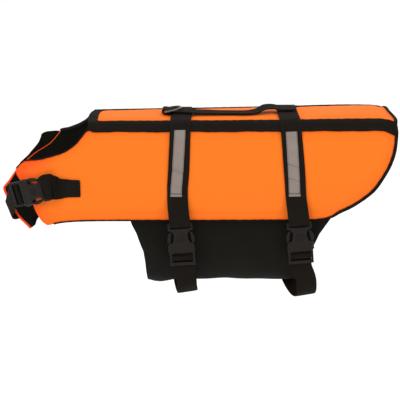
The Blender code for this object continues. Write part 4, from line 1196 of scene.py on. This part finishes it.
def back_piece():
    """Foam back panel in orange cloth, over the spine from seam to seam."""
    s, across, ends, seams = back_patch(*BACK_GRID)
    lift = np.minimum(puff(seams, SEAM_FLAT), puff(ends, EDGE_FLAT))
    full = np.clip((lift - EDGE_OUT) / (FULL_OUT - EDGE_OUT), 0, 1)
    lift = lift + gathers(seams, s - REAR_END + np.where(across > 0, 31, 0), SEAM_FLAT)
    lift = lift + gathers(ends + 0 * across, across + 60, EDGE_FLAT)
    lift = lift + full * (unevenness(s, across + 90) - pressed(s, across))
    # painted shade: darker along the bound ends and by the taped seams
    painted_shading = 0.35 * np.exp(-ends / 5.0) + 0.25 * np.exp(-np.maximum(seams - 9, 0) / 4.0)
    piece = cloth_piece("outer", "back_panel", over(s, across, lift), over(s, across, PANEL_IN),
                        np.stack([s, across], -1), painted_shading, swell=0.2)


def back_lining_piece():
    """Lining of the back panel, with small slack folds."""
    s, across, ends, seams = back_patch(*BACK_LINING_GRID)
    slack = np.clip(np.minimum(ends, seams) / 14, 0, 1) * (
        0.35 * np.sin(s / 10.0 + 2 * np.sin(across / 19.0)) + 0.3 * np.sin(across / 7.0))
    grid = np.stack([s, across], -1)
    piece = cloth_piece("lining", "back_lining", over(s, across, LINING_OUT),
                        over(s, across, LINING_IN - 0.3 + slack * 0.6), grid)
    ring = np.vstack([grid[:, 0], grid[-1, 1:], grid[::-1, -1], grid[0, ::-1]])
    flat, area = cut_of(ring)


def belly_point(x, turn, inset):
    """Point of the belly at a turn in degrees from the left top (-90) to the right (90)."""
    a = np.radians(turn)
    droop = BELLY_DROOP * np.interp(x, *np.array(BELLY_SAG).T) * np.cos(a)
    half = np.interp(174, STEP, OUT) * spline(FULLNESS, x) - BELLY_TUCK
    y = (half - inset) * np.sin(a)
    z = BELLY_TOP_Z - (BELLY_DROP - inset + droop) * np.cos(a)
    return np.stack([x + 0 * y, y, z], -1)


def belly_piece():
    """Thin belly panel sewn inside both hems: an arc under the body with slack cross folds, and a
    turned hem on its front and rear edges."""
    turn = np.linspace(-90, 90, 170)
    ups = 90 - np.abs(turn)
    deg, front, rear = np.array(BELLY_EDGES, float).T
    fx, rx = np.interp(ups, deg, front), np.interp(ups, deg, rear)
    u = np.linspace(0, 1, 150)[:, None]
    x = fx[None] * (1 - u) + rx[None] * u
    t = np.broadcast_to(turn[None], x.shape)
    edge = np.minimum(x - fx[None], rx[None] - x)
    loose = np.clip((90 - np.abs(t)) / 25, 0, 1) * np.clip(edge / 12, 0, 1)
    folds = loose * (0.9 * np.sin(x / 19.0 + 1.2 * np.sin(t / 17.0)) + 0.5 * np.sin(
        x / 8.3 + 2.1 * np.sin(t / 13.0 + 1)) + 0.35 * np.sin(t / 5.0 + np.sin(x / 27.0)))
    turned = 0.35 * np.clip((11 - edge) / 1.5, 0, 1)
    outer = belly_point(x, t, 0.5 - turned - folds * 0.8)
    inner = belly_point(x, t, BELLY_WALL + turned * 0.5 - folds * 0.8)
    piece = cloth_piece("lining", "belly_panel", outer, inner)
    length = length_of(belly_point(0 * turn, turn, 0.5)) * MM
    sew("belly_hem_stitches", grid_lines(outer, rows=(10, 139)), 0.25)


def facing_piece():
    """Black facing that stands past the right panel's neck edge."""
    us = np.linspace(0, 1, 90)
    inner = resample(smooth(FACING_INNER), us)
    outer = resample(smooth(FACING_OUTER), us)
    v = np.linspace(0, 1, 22)[None, :, None]
    grid = inner[:, None] * (1 - v) + outer[:, None] * v
    s, h = np.moveaxis(grid, -1, 0)
    ripple = 0.25 * np.sin(s / 3.7 + h / 6.0) * v[..., 0]
    piece = cloth_piece("lining", "neck_facing_right", skin(1, s, h, EDGE_OUT + ripple),
                        skin(1, s, h, EDGE_OUT - FACING_WALL + ripple), grid,
                        name="neck_facing_cloth")
    flat, area = cut_of(np.vstack([inner, outer[::-1]]))


def tape_piece(side, word):
    """Webbing tape over a side seam: a strip of the form's skin between two depths, crowned a
    little, its edges gathered by their two rows of stitches."""
    rear = outline(side)[-1][::-1]
    share = np.sin(np.linspace(-pi / 2, pi / 2, 17))[None]
    width = (TAPE_TOP_H + TAPE_BOTTOM_H) / 2 + (TAPE_BOTTOM_H - TAPE_TOP_H) / 2 * share
    start = np.interp(width + flare(REAR_END) + TAPE_TURN, rear[:, 1], rear[:, 0]) + 1.0
    t = np.linspace(0, 1, 300)[:, None]
    s = start + t * (NECK_END + 0.5 - start)
    wander = 0.3 * np.sin(s / 13.0) + 0.2 * np.sin(s / 5.1 + 1)
    h = width + flare(s) + TAPE_TURN * np.clip(1 - 22 * t, 0, 1) ** 1.5 + wander * np.abs(share)
    h = h - 3.4 * np.clip((s - NECK_END + 6) / 6, 0, 1) ** 2 * np.clip(share, 0, 1)
    crown = 0.9 * (1 - share ** 4)
    dents = 0.22 * np.sin(s / 1.9 + 1.3 * np.sin(s / 17.0)) * np.abs(share) ** 4
    high = skin(side, s, h, TAPE_HIGH + crown + dents)
    name = f"seam_tape_{word}"
    cloth_piece("webbing", name, high, skin(side, s, h, TAPE_LOW))
    sew(f"{name}_stitches", grid_lines(high, columns=(3, 13)), 0.05)


def neck_leg(line):
    """How far the neck binding reaches over the outer cloth: wide across the back, narrow below
    the side seams."""
    across = line[:, 1]
    ragged = 0.5 * np.sin(across / 2.1 + 1.4 * np.sin(across / 9.0))
    wide = ease((NECK_WIDE_TO - np.abs(across)) / 9.0)
    return HEM_LEG + (NECK_WIDE + ragged - HEM_LEG) * wide


def hem_leg(line):
    """How far a hem binding reaches over the outer cloth: as far as the rear binding where the
    two meet, then less and less."""
    return HEM_LEG + (REAR_LEG - HEM_LEG) * np.clip(1 - running(line) / 34.0, 0, 1) ** 1.5


def binding_ring(side_of, line, sign, leg):
    """Rings of a binding folded round an edge: a rounded C whose outer face passes round the edge
    on a superellipse and whose inner face follows it one wall inside."""
    legs = leg(line) if callable(leg) else np.full(len(line), float(leg))
    along = unit(np.gradient(line, axis=0))
    inward = sign * np.stack([-along[:, 1], along[:, 0]], 1)
    run = running(line)
    high = EDGE_OUT + BIND_GAP + BIND_WALL
    low = LINING_IN - BIND_GAP - BIND_WALL
    middle, half = (high + low) / 2, (high - low) / 2
    turn = np.linspace(pi / 2, 3 * pi / 2, 15)
    bulge = BIND_GAP + BIND_WALL + 0.2

    def arc(shrink):
        reach = -np.sign(-np.cos(turn)) * np.abs(np.cos(turn)) ** 0.6 * (bulge - shrink)
        lift = middle + np.sign(np.sin(turn)) * np.abs(np.sin(turn)) ** 0.45 * (half - shrink)
        return np.stack([reach, lift], 1)
    tips = [1.0, 0.75, 0.5, 0.25]
    outside = np.vstack([[[t, high] for t in tips], arc(0.0), [[0.5, low], [1.0, low]]])
    inside = np.vstack([[1.0, high - BIND_WALL], arc(BIND_WALL), [1.0, low + BIND_WALL]])[::-1]
    profile = np.vstack([outside, inside])
    ripple = 0.14 * np.sin(run / 1.9 + 1.1 * np.sin(run / 15.0)) + 0.1 * np.sin(run / 7.0)
    rings = []
    for share, lift in profile:
        upper = lift > middle
        reach = share if share <= 0 else share * (legs if upper else np.minimum(legs, REAR_LEG))
        rise = (puff(np.maximum(reach, 0) + 0 * run, EDGE_FLAT) - EDGE_OUT) * (share > 0) * upper
        p = line + inward * (reach + ripple * (share > 0))[:, None]
        rings.append(side_of(p[:, 0], p[:, 1], lift + rise + 0.5 * ripple))
    rings = np.stack(rings, 1)
    uv = np.stack(np.meshgrid(run, running(profile), indexing="ij"), -1)
    sewn = np.maximum(legs * 0.6, legs - 2.0)
    stitched = line + inward * sewn[:, None]
    rise = high + 0.1 + puff(sewn, EDGE_FLAT) - EDGE_OUT
    seam = side_of(stitched[:, 0], stitched[:, 1], rise)
    up = seam - side_of(stitched[:, 0], stitched[:, 1], rise - 3.0)
    wide = legs > 1.5
    return rings, uv, (seam[wide], up[wide])


def binding_piece(name, node, side_of, line, sign, leg, steps):
    """Binding along an edge of (s, h) or (s, across) with its row of stitches."""
    line = resample(line, np.linspace(0, 1, steps))
    rings, uv, seam = binding_ring(side_of, line, sign, leg)
    verts, faces = tube(rings)
    piece = put_mesh(name, verts, faces, "edge_binding", uv.reshape(-1, 2))
    settle(piece, node, "black_webbing")
    if len(seam[0]):
        sew(f"{node}_stitches", [seam])


def strap_path(table, buckle, slack):
    """Mid line of a girth strap with its width direction: wrapped round the female half's bar,
    over the back, under the belly, through the slack loop and the male half's ladder."""
    across, s = np.array(table, float).T
    run = np.concatenate([np.arange(-144, 172, 4.0), [181.5]])
    lift = STRAP_MID + STRAP_RISE * np.interp(-run, STRAP_RISE_H, (0, 1))
    body = over(np.interp(run, across, s), run, lift)
    body = np.hstack([body, np.tile(BACKWARD, (len(body), 1))])
    thread, wrap = (in_frame(buckle, turns) for turns in (MALE_WRAP, FEMALE_WRAP[1:]))
    thread[:, 3:] *= -1
    wrap[:, 3:] *= -1
    shift, y, z = np.array(slack, float).T
    t = np.linspace(0, 1, len(y) + len(BELLY_TURNS))
    x = thread[0, 0] * (1 - t) + body[-1, 0] * t
    loop = np.vstack([np.stack([x[:len(y)] + shift, y, z], 1),
                      belly_point(x[len(y):], np.array(BELLY_TURNS, float), -2.0)])
    slant = np.interp(np.arange(len(loop)), [0, 2, len(y)], [0, SLACK_SLANT, 0])
    loop = np.hstack([loop, np.stack([1 + 0 * slant, 0 * slant, slant], 1)])
    control = np.vstack([wrap[::-1], body, loop[::-1], thread])
    return curve_through(control, 1.1)


def strap_piece(word, table, buckle, slack):
    """Girth strap: a band of webbing along its whole path."""
    path = strap_path(table, buckle, slack)
    ripple = 0.25 * np.sin(np.arange(len(path)) / 11.0)
    front, back = band(path[:, :3], path[:, 3:], WEB, STRAP_WIDTH + ripple)
    cloth_piece("webbing", f"girth_strap_{word}", back, front)


def on_strap(table, side, run, off, lift):
    """Point on a girth strap: run down the side, off from its middle toward the neck."""
    across, s = np.array(table, float).T
    return over(np.interp(side * run, across, s) + off, side * run, lift)


def strap_sewing(word, table):
    """Two rows of stitches along a girth strap over the back and down each side to the hem."""
    run = np.arange(-150.0, 160.0, 1.5)
    lines = []
    for off in (-STITCH_ROW, STITCH_ROW):
        points, below = (on_strap(table, 1, run, off, STRAP_MID + lift) for lift in (0.85, -2.0))
        lines.append((points, points - below))
    sew(f"girth_strap_{word}_stitches", lines)


def band_piece(side, side_word, word, table):
    """Reflective band sewn on a girth strap, with a folded hem at its lower end and stitches down
    both edges and over the hem."""
    (start, end), shift = STRIPS[word]
    run = np.concatenate([np.linspace(start, end - 3.1, 78),
                          np.linspace(end - 2.8, end, 14)])[:, None]
    off = np.interp(run, (start, end), shift)
    off = off + np.sin(np.linspace(-pi / 2, pi / 2, 15))[None] * STRIP_WIDTH / 2
    run = run + 0 * off
    fold = np.clip((run - end + 2.9) / 0.5, 0, 1)
    lowest = STRAP_MID + WEB / 2 + 0.05
    wrinkle = band_wrinkles(side, word, run, off)
    high = on_strap(table, side, run, off, lowest + 0.5 + 0.55 * fold + wrinkle)
    # painted shade: a dark line along the hem's fold, and darkening in the band's creases
    worn = np.exp(-((run - end + 3.3) / 0.75) ** 2) + np.clip(-1.2 * wrinkle, 0, 1)
    name = f"reflective_{word}_{side_word}"
    cloth_piece("band", name, high, on_strap(table, side, run, off, lowest), worn=worn)
    sew(f"{name}_stitches", grid_lines(high, columns=(2, 12), rows=(77,)), 0.05)


def band_wrinkles(side, word, run, off):
    """Creases of a reflective band: a few slanted ones low on it, and faint ones above."""
    lift = 0.06 * np.sin(run / 3.1 + off / 5.0)
    for centre, depth, half in BAND_CREASES[word]:
        lift = lift - depth * np.exp(-((run - centre - side * 0.3 * off) / half) ** 2)
    return lift


# ---------------------------------------------------------------- buckles


def moulded(name, stations, power=5.0, round_by=0.7, count=40):
    """Moulded bar: superellipses of the given power through stations of (along, low and high
    width, low and high out), closed at each end on a quarter circle."""
    table = np.array(stations, float)
    along = table[:, 0]
    a = np.linspace(along[0], along[-1], 34)
    inner = [np.interp(a, along, table[:, k]) for k in (1, 2, 3, 4)]
    quarter = np.linspace(0, pi / 2, 6)
    close = round_by * (1 - np.cos(quarter))
    narrow = 1 - np.sin(quarter)
    mid = a[np.minimum(a - a[0], a[-1] - a) > round_by * 1.1]
    where = np.concatenate([a[0] + close, mid, a[-1] - close[::-1]])
    shrink = np.concatenate([narrow, 0 * mid, narrow[::-1]]) * round_by
    w0, w1, o0, o1 = (np.interp(where, a, v) for v in inner)
    turn = np.linspace(0, 2 * pi, count, endpoint=False)
    c, d = (np.sign(v) * np.abs(v) ** (2 / power) for v in (np.cos(turn), np.sin(turn)))
    half_w = ((w1 - w0) / 2 - shrink)[:, None]
    half_o = ((o1 - o0) / 2 - shrink)[:, None]
    rings = np.stack([((w0 + w1) / 2)[:, None] + c * half_w,
                      ((o0 + o1) / 2)[:, None] + d * half_o, where[:, None] + 0 * c * half_w], -1)
    return link(name, raw_mesh(name, *tube(rings)))


def even(name, stations, power=5.0, round_by=0.7, count=40):
    """Moulded bar that is the same to both sides: stations of (along, half width, low and high
    out)."""
    return moulded(name, [(a, -half, half, low, high) for a, half, low, high in stations],
                   power, round_by, count)


def bake(obj):
    """Apply the modifiers of an object."""
    depsgraph = bpy.context.evaluated_depsgraph_get()
    mesh = bpy.data.meshes.new_from_object(obj.evaluated_get(depsgraph))
    obj.modifiers.clear()
    obj.data = mesh


def combine(obj, others, operation):
    """Join or cut an object with others, exactly."""
    for other in others:
        mod = obj.modifiers.new("shape", "BOOLEAN")
        mod.operation = operation
        mod.solver = "EXACT"
        mod.object = other
        bake(obj)
    for other in others:
        bpy.data.objects.remove(other, do_unlink=True)
    return obj


def female_half():
    """Female half of a side-release buckle, its webbing bar at the origin: a slotted bar frame, a
    waisted hollow body with two side windows, and a lipped mouth."""
    frame = even("frame", [(-1.5, 15.6, -1.5, 1.5), (8.0, 15.6, -1.5, 1.5)], 9)
    waist = even("waist", [(5.2, 14.0, -1.7, 2.0), (8.0, 12.6, -2.6, 3.4),
                           (10.2, 9.8, -3.2, 4.3), (13.5, 8.8, -3.4, 4.6),
                           (19.0, 9.4, -3.6, 4.7), (23.6, 11.6, -3.8, 4.8),
                           (26.4, 14.8, -3.8, 4.8)], 4.5)
    mouth = even("mouth", [(23.4, 14.2, -3.7, 4.6), (25.4, 16.4, -4.0, 4.9),
                           (32.0, 17.0, -4.0, 4.9), (35.0, 17.0, -4.0, 4.8)])
    lip = even("lip", [(32.6, 17.3, -4.3, 5.2), (35.0, 17.3, -4.3, 5.2)], 5, 0.5)
    combine(frame, [waist, mouth, lip], "UNION")
    slot = even("slot", [(1.5, 13.2, -6, 6), (5.0, 13.2, -6, 6)], 12, 0.9)
    left = moulded("left", [(19.0, -18.6, -12.0, -2.1, 2.5), (24.2, -18.6, -12.0, -2.1, 2.5),
                            (40.0, -15.7, -12.0, -2.1, 2.5)], 8, 0.8)
    right = moulded("right", [(19.0, 12.0, 18.6, -2.1, 2.5), (24.2, 12.0, 18.6, -2.1, 2.5),
                              (40.0, 12.0, 15.7, -2.1, 2.5)], 8, 0.8)
    dish = even("dish", [(12.4, 7.0, 4.0, 8.0), (22.4, 8.2, 4.0, 8.0)], 5, 1.0)
    combine(frame, [slot, left, right, dish], "DIFFERENCE")
    ribs = [even("rib", [(a, 5.6, 3.4, 4.6), (a + 1.3, 5.6, 3.4, 4.6)], 4, 0.5, 20)
            for a in (14.4, 17.0, 19.6)]
    return combine(frame, ribs, "UNION")


def male_half():
    """Male half: two barbed arms, a ridged shoulder and a ladder of two slots with a thicker end
    bar."""
    plate = even("plate", [(35.3, 15.9, -1.3, 1.3), (55.0, 15.9, -1.3, 1.3)], 9)
    parts = [even("shoulder", [(35.3, 15.9, -1.5, 3.5), (37.4, 15.9, -1.5, 3.2),
                               (39.3, 15.7, -1.4, 1.8)], 6),
             even("end", [(51.6, 16.0, -1.5, 1.7), (55.7, 16.0, -1.5, 1.7)], 4, 1.2)]
    arm = [(9.6, 10.9, 13.7), (12.5, 11.9, 15.6), (17.0, 12.7, 17.1), (22.4, 12.8, 17.3),
           (24.4, 12.5, 16.2), (25.6, 12.5, 15.3), (36.5, 12.5, 15.3)]
    for sign in (-1, 1):
        parts.append(moulded("arm", [(a, *sorted((sign * low, sign * high)), -1.6, 2.0)
                                     for a, low, high in arm], 6, 0.6))
    combine(plate, parts, "UNION")
    slots = [even("slot", [(a, 13.2, -6, 6), (b, 13.2, -6, 6)], 12, 0.8)
             for a, b in ((39.5, 43.5), (46.0, 51.2))]
    return combine(plate, slots, "DIFFERENCE")


def buckle_piece(source, node, frame):
    """Copy of a buckle half set in a buckle's frame."""
    origin, along, width, out = frame
    mesh = source.data.copy()
    mesh.name = f"{node}_plastic"
    turn = Matrix(np.stack([width, out, along], 1).tolist()).to_4x4()
    mesh.transform(Matrix.Translation(Vector(origin * MM)) @ turn)
    mesh.flip_normals()            # the three directions are left-handed
    mesh.polygons.foreach_set("use_smooth", np.ones(len(mesh.polygons), bool))
    mesh.set_sharp_from_angle(angle=radians(32))
    mesh.materials.append(finish_of("buckle_plastic"))
    settle(link(f"{node}_plastic", mesh), node, "black_plastic")


# ---------------------------------------------------------------- operators


class JACKET_OT_panels(bpy.types.Operator):
    """Make the foam back and side panels with their linings"""

    bl_idname = "jacket.panels"
    bl_label = "Panels"

    def execute(self, context):
        """Back panel and both sides."""
        back_piece()
        back_lining_piece()
        for side, word in SIDES:
            side_piece(side, word)
            side_lining_piece(side, word)
        return {"FINISHED"}


class JACKET_OT_black_cloth(bpy.types.Operator):
    """Make the belly panel and the neck facing"""

    bl_idname = "jacket.black_cloth"
    bl_label = "Belly panel and facing"

    def execute(self, context):
        """Belly and facing."""
        belly_piece()
        facing_piece()
        return {"FINISHED"}


class JACKET_OT_trims(bpy.types.Operator):
    """Make the seam tapes and the bindings round the panels' edges"""

    bl_idname = "jacket.trims"
    bl_label = "Tapes and bindings"

    def execute(self, context):
        """Tapes over the side seams, then the bindings of rear, neck and hems."""
        ends = {}
        for side, word in SIDES:
            tape_piece(side, word)
            _, neck, _, hem, rear = outline(side)
            ends[side] = (neck, hem[::-1], rear[::-1])
        left, right = ends[-1], ends[1]
        turn = resample(left[1], np.linspace(0, HEM_TURN, 8))
        down = np.vstack([left[2], turn[1:]])
        spine = np.linspace(-1, 1, 40)
        back = np.stack([REAR_END + rear_bow(spine), spine * (SEAM_H + flare(REAR_END))], 1)
        line = np.vstack([mirrored(down[::-1])[:-1], back, down[1:]])
        binding_piece("rear_binding_tape", "rear_binding", over, line, -1, REAR_LEG, 420)
        back = np.stack([NECK_END + NECK_BULGE * (1 - spine ** 2), spine * SEAM_H], 1)
        far = resample(right[0], np.linspace(0, NECK_FAR, 40))
        line = np.vstack([mirrored(left[0][::-1])[:-1], back, far[1:]])
        binding_piece("neck_binding_tape", "neck_binding", over, line, 1, neck_leg, 330)
        for side, word in SIDES:
            line = resample(ends[side][1], np.linspace(HEM_TURN * 1.004, HEM_END, 300))
            binding_piece(f"hem_binding_{word}_tape", f"hem_binding_{word}",
                          partial(skin, side), line, -1, hem_leg, 380)
        return {"FINISHED"}


class JACKET_OT_straps(bpy.types.Operator):
    """Make the girth straps with their reflective bands, and the chest straps"""

    bl_idname = "jacket.straps"
    bl_label = "Straps"

    def execute(self, context):
        """Girth straps first, then the bands on them, then the chest."""
        for word, table, places, slack in GIRTHS:
            strap_piece(word, table, girth_frame(*places), slack)
            strap_sewing(word, table)
            for side, side_word in SIDES:
                band_piece(side, side_word, word, table)
        self.chest_left()
        self.chest_right()
        return {"FINISHED"}

    def chest_left(self):
        """Short strap sewn to the left panel, humped where it rises to the buckle's bar."""
        s, width = np.array(CHEST_SEWN, float).T
        body = skin(-1, s, depth_at(CHEST_Z), STRAP_MID + np.array([0, 0, 0.6, 2.2]))
        body = np.hstack([body, np.tile(UPWARD, (len(body), 1))])
        wrap = in_frame(chest_frame(), FEMALE_WRAP)
        flared = np.array([(2.6, 30.5), (1.2, 28.5)])      # (rise, width) beside the bar
        wrap[:2, :3] += chest_frame()[2] * flared[:, :1]
        wide = np.concatenate([width, flared[:, 1], np.full(len(wrap) - 2, STRAP_WIDTH)])
        path = curve_through(np.hstack([np.vstack([body, wrap]), wide[:, None]]), 0.8)
        front, back = webbing_piece("chest_strap_left", path, width=path[:, 6])
        outer = back if back[4, 5, 1] < front[4, 5, 1] else front
        box = grid_lines(outer[:20], columns=(2, 8), rows=(2, 17))
        sew("chest_strap_left_stitches", box, 0.05)

    def chest_right(self):
        """Long strap from the male half round the front of the chest to the right panel."""
        s, low = np.array(CHEST_RIGHT, float).T
        middle = depth_at(CHEST_RIGHT_Z) + low
        body, above, below = (skin(1, s, middle + drop, STRAP_MID + 0.3) for drop in (0, -3, 3))
        body = np.hstack([body, unit(above - below)])
        thread = in_frame(chest_frame(), [(57.4, -2.8), *MALE_WRAP[1:]])[::-1]
        turn = np.hstack(CHEST_TURN)
        taut = thread[-1] + np.array([[0.3], [0.65]]) * (turn - thread[-1])
        path = curve_through(np.vstack([thread, taut, turn, body]), 0.9)
        front, back = webbing_piece("chest_strap_right", path)
        outer = front if front[-5, 5, 1] > back[-5, 5, 1] else back
        box = grid_lines(outer[-34:], columns=(2, 8), rows=(2, 31))
        sew("chest_strap_right_stitches", box, 0.05)


class JACKET_OT_handle(bpy.types.Operator):
    """Make the handle along the spine, the leash ring's tab and the ring"""

    bl_idname = "jacket.handle"
    bl_label = "Handle and leash ring"

    def execute(self, context):
        """Handle, tab, ring."""
        self.handle()
        self.tab()
        self.ring()
        return {"FINISHED"}

    def handle(self):
        """Webbing handle lying slack, a doubled band tilted with the back."""
        x, y, rise, tilt = curve_through(HANDLE, 1.2).T
        drop = np.interp(np.abs(y), OUT, DOWN)
        path = np.stack([x, y, spine_z(x) - drop + rise], 1)
        slope = np.interp(np.abs(y), OUT, np.interp(STEP, *np.array(SECTION, float).T))
        t = np.radians(tilt + slope)
        across = np.stack([0 * t, np.cos(t), np.sin(t)], 1)
        front, back = webbing_piece("handle", np.hstack([path, across]), HANDLE_THICK,
                                    HANDLE_WIDTH + 0.3 * np.sin(x / 9.0), columns=15)
        top = front if front[:, 7, 2].mean() > back[:, 7, 2].mean() else back
        rows = (1, 8, len(top) - 9, len(top) - 2)
        sew("handle_stitches", grid_lines(top, columns=(3, 11), rows=rows), 0.05)

    def tab(self):
        """Webbing tab folded round the ring's bar."""
        x, rise = np.array(TAB, float).T
        path = curve_through(np.stack([x, 0 * x + RING_Y, spine_z(RING_X) + rise], 1), 0.6)
        across = np.tile([0.0, 1.0, 0.0], (len(path), 1))
        front, back = webbing_piece("leash_ring_tab", np.hstack([path, across]), width=TAB_WIDTH)
        top = front if front[-8, 5, 2] > back[-8, 5, 2] else back
        sew("leash_ring_tab_stitches", grid_lines(top[:-2], rows=(-9,)), 0.05)

    def ring(self):
        """D-shaped ring of round wire: a straight bar with two tight corners, two short legs and
        a half circle."""
        turns = np.radians(np.linspace(-90, 90, 49))
        bow = np.stack([RING_LEG + RING_HALF * np.cos(turns), RING_HALF * np.sin(turns)], 1)
        corner = np.radians(np.linspace(90, 180, 9))
        straight = RING_HALF - RING_CORNER
        high = np.stack([RING_CORNER + RING_CORNER * np.cos(corner),
                         straight + RING_CORNER * np.sin(corner)], 1)
        bar = np.stack([np.zeros(12), np.linspace(straight, -straight, 14)[1:-1]], 1)
        flat = np.vstack([bow, high, bar, high[::-1] * (1, -1)])
        along = unit(np.roll(flat, -1, 0) - np.roll(flat, 1, 0))
        out = np.stack([along[:, 1], -along[:, 0]], 1)
        lean = radians(RING_LEAN)
        ex, ey = np.array([cos(lean), 0, sin(lean)]), np.array([0, 1.0, 0])
        ez = np.cross(ex, ey)
        wire = sizes().ring_wire / MM
        turn = np.linspace(0, 2 * pi, 16, endpoint=False)[None, :, None]
        p = flat[:, None] + out[:, None] * wire * np.cos(turn)
        rings = p[..., :1] * ex + p[..., 1:] * ey + wire * np.sin(turn) * ez
        rings = rings + np.array([RING_X, RING_Y, float(spine_z(RING_X)) + RING_RISE])
        verts, faces = tube(rings, closed=True)
        piece = put_mesh("leash_ring_wire", verts, faces, "ring_steel", uv=verts[:, :2])
        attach(piece, "leash_ring")
        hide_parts("leash_ring")


class JACKET_OT_buckles(bpy.types.Operator):
    """Make the three fastened side-release buckles"""

    bl_idname = "jacket.buckles"
    bl_label = "Buckles"

    def execute(self, context):
        """Both halves once, then their copies in each buckle's place."""
        halves = {"female": female_half(), "male": male_half()}
        frames = {word: girth_frame(*places) for word, _, places, _ in GIRTHS}
        for word, frame in {**frames, "chest": chest_frame()}.items():
            for half, source in halves.items():
                buckle_piece(source, f"{word}_buckle_{half}", frame)
        for source in halves.values():
            bpy.data.objects.remove(source, do_unlink=True)
        return {"FINISHED"}


class JACKET_OT_stage(bpy.types.Operator):
    """Set the floor, the lights, the surroundings and the camera"""

    bl_idname = "jacket.stage"
    bl_label = "Stage"

    def execute(self, context):
        """Floor below the lowest strap, soft lights all round, camera at the left side."""
        self.floor()
        self.lights(context.scene)
        self.camera(context.scene)
        return {"FINISHED"}

    def floor(self):
        """Round pale floor."""
        turn = np.linspace(0, 2 * pi, 96, endpoint=False)
        radius = FLOOR_RADIUS / MM
        verts = np.stack([radius * np.cos(turn), radius * np.sin(turn),
                          np.full(96, FLOOR_Z)], 1)
        obj = put_mesh("floor", verts, [np.arange(96)[None]], "pale_floor", uv=verts[:, :2])
        obj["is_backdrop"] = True

    def lights(self, scene):
        """Even surroundings with a soft key from the upper left and a fill from the right."""
        world = bpy.data.worlds.new("pale_surroundings")
        world.use_nodes = True
        node = world.node_tree.nodes["Background"]
        node.inputs["Color"].default_value = (1.0, 1.0, 1.0, 1.0)
        node.inputs["Strength"].default_value = WORLD_STRENGTH
        scene.world = world
        for name, spot, aim, size, watts in LIGHTS:
            light = bpy.data.lights.new(name, "AREA")
            light.shape = "DISK"
            light.size = size
            light.energy = watts
            obj = link(name, light)
            obj.location = spot
            way = Vector(aim) - Vector(spot)
            obj.rotation_euler = way.to_track_quat("-Z", "Y").to_euler()

    def camera(self, scene):
        """Camera at the jacket's left side, 15 degrees over level."""
        camera = bpy.data.cameras.new("side_camera")
        camera.lens = CAMERA_LENS
        camera.clip_end = 200.0
        obj = link("side_camera", camera)
        tip = radians(CAMERA_TIP)
        x, z = CAMERA_AIM
        obj.location = (x, -CAMERA_OFF * cos(tip), z + CAMERA_OFF * sin(tip))
        obj.rotation_euler = (pi / 2 - tip, 0.0, 0.0)
        scene.camera = obj
        scene.view_settings.view_transform = "Standard"


class JACKET_PT_panel(bpy.types.Panel):
    """Sidebar panel with the jacket's sizes, colours and pieces"""

    bl_idname = "JACKET_PT_panel"
    bl_label = "Dog life jacket"
    bl_space_type = "VIEW_3D"
    bl_region_type = "UI"
    bl_category = "Jacket"

    def draw(self, context):
        """Buttons for the pieces, then the sizes and colours."""
        column = self.layout.column(align=True)
        for maker in MAKERS:
            column.operator(maker.bl_idname, text=maker.bl_label)
        for group in (context.scene.jacket_sizes, context.scene.jacket_colours):
            box = self.layout.box().column()
            for key in group.bl_rna.properties.keys():
                if key not in ("rna_type", "name"):
                    box.prop(group, key)


CAMERA_AIM = (-0.0454, -0.111) # x and z of the point looked at, m
CAMERA_OFF = 1.5               # distance from it, m
CAMERA_TIP = 15.0              # degrees over level
CAMERA_LENS = 102.6            # focal length
FLOOR_RADIUS = 30.0            # m
FLOOR_Z = -430.0               # mm
WORLD_STRENGTH = 1.08
LIGHTS = [  # (name, place, aim, size, watts)
    ("key", (-1.1, -1.9, 1.7), (0.0, 0.0, -0.1), 1.6, 12.0),
    ("fill", (1.7, -1.6, 0.7), (0.0, 0.0, -0.1), 1.8, 5.0),
    ("rim", (0.2, 1.6, 1.5), (0.0, 0.0, -0.05), 1.4, 6.0)]

MAKERS = (JACKET_OT_panels, JACKET_OT_black_cloth, JACKET_OT_trims, JACKET_OT_straps,
          JACKET_OT_handle, JACKET_OT_buckles, JACKET_OT_stage)
CLASSES = (JacketSizes, JacketColours, *MAKERS, JACKET_PT_panel)


def register():
    """Register the classes and the scene's two property groups."""
    for cls in CLASSES:
        bpy.utils.register_class(cls)
    bpy.types.Scene.jacket_sizes = PointerProperty(type=JacketSizes)
    bpy.types.Scene.jacket_colours = PointerProperty(type=JacketColours)


def unregister():
    """Take the classes and property groups away again."""
    del bpy.types.Scene.jacket_colours
    del bpy.types.Scene.jacket_sizes
    for cls in reversed(CLASSES):
        bpy.utils.unregister_class(cls)


def main():
    """Run the operators in order."""
    register()
    for maker in MAKERS:
        group, name = maker.bl_idname.split(".")
        if getattr(getattr(bpy.ops, group), name)() != {"FINISHED"}:
            raise RuntimeError(f"{maker.bl_label} could not be made")
    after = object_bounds()
    {"cad": plain(CAD_BOX), "model": plain(after)}


def plain(box):
    """Bounds as plain lists of numbers."""
    return [[float(v) for v in corner] for corner in box]


if __name__ == "__main__":
    main()
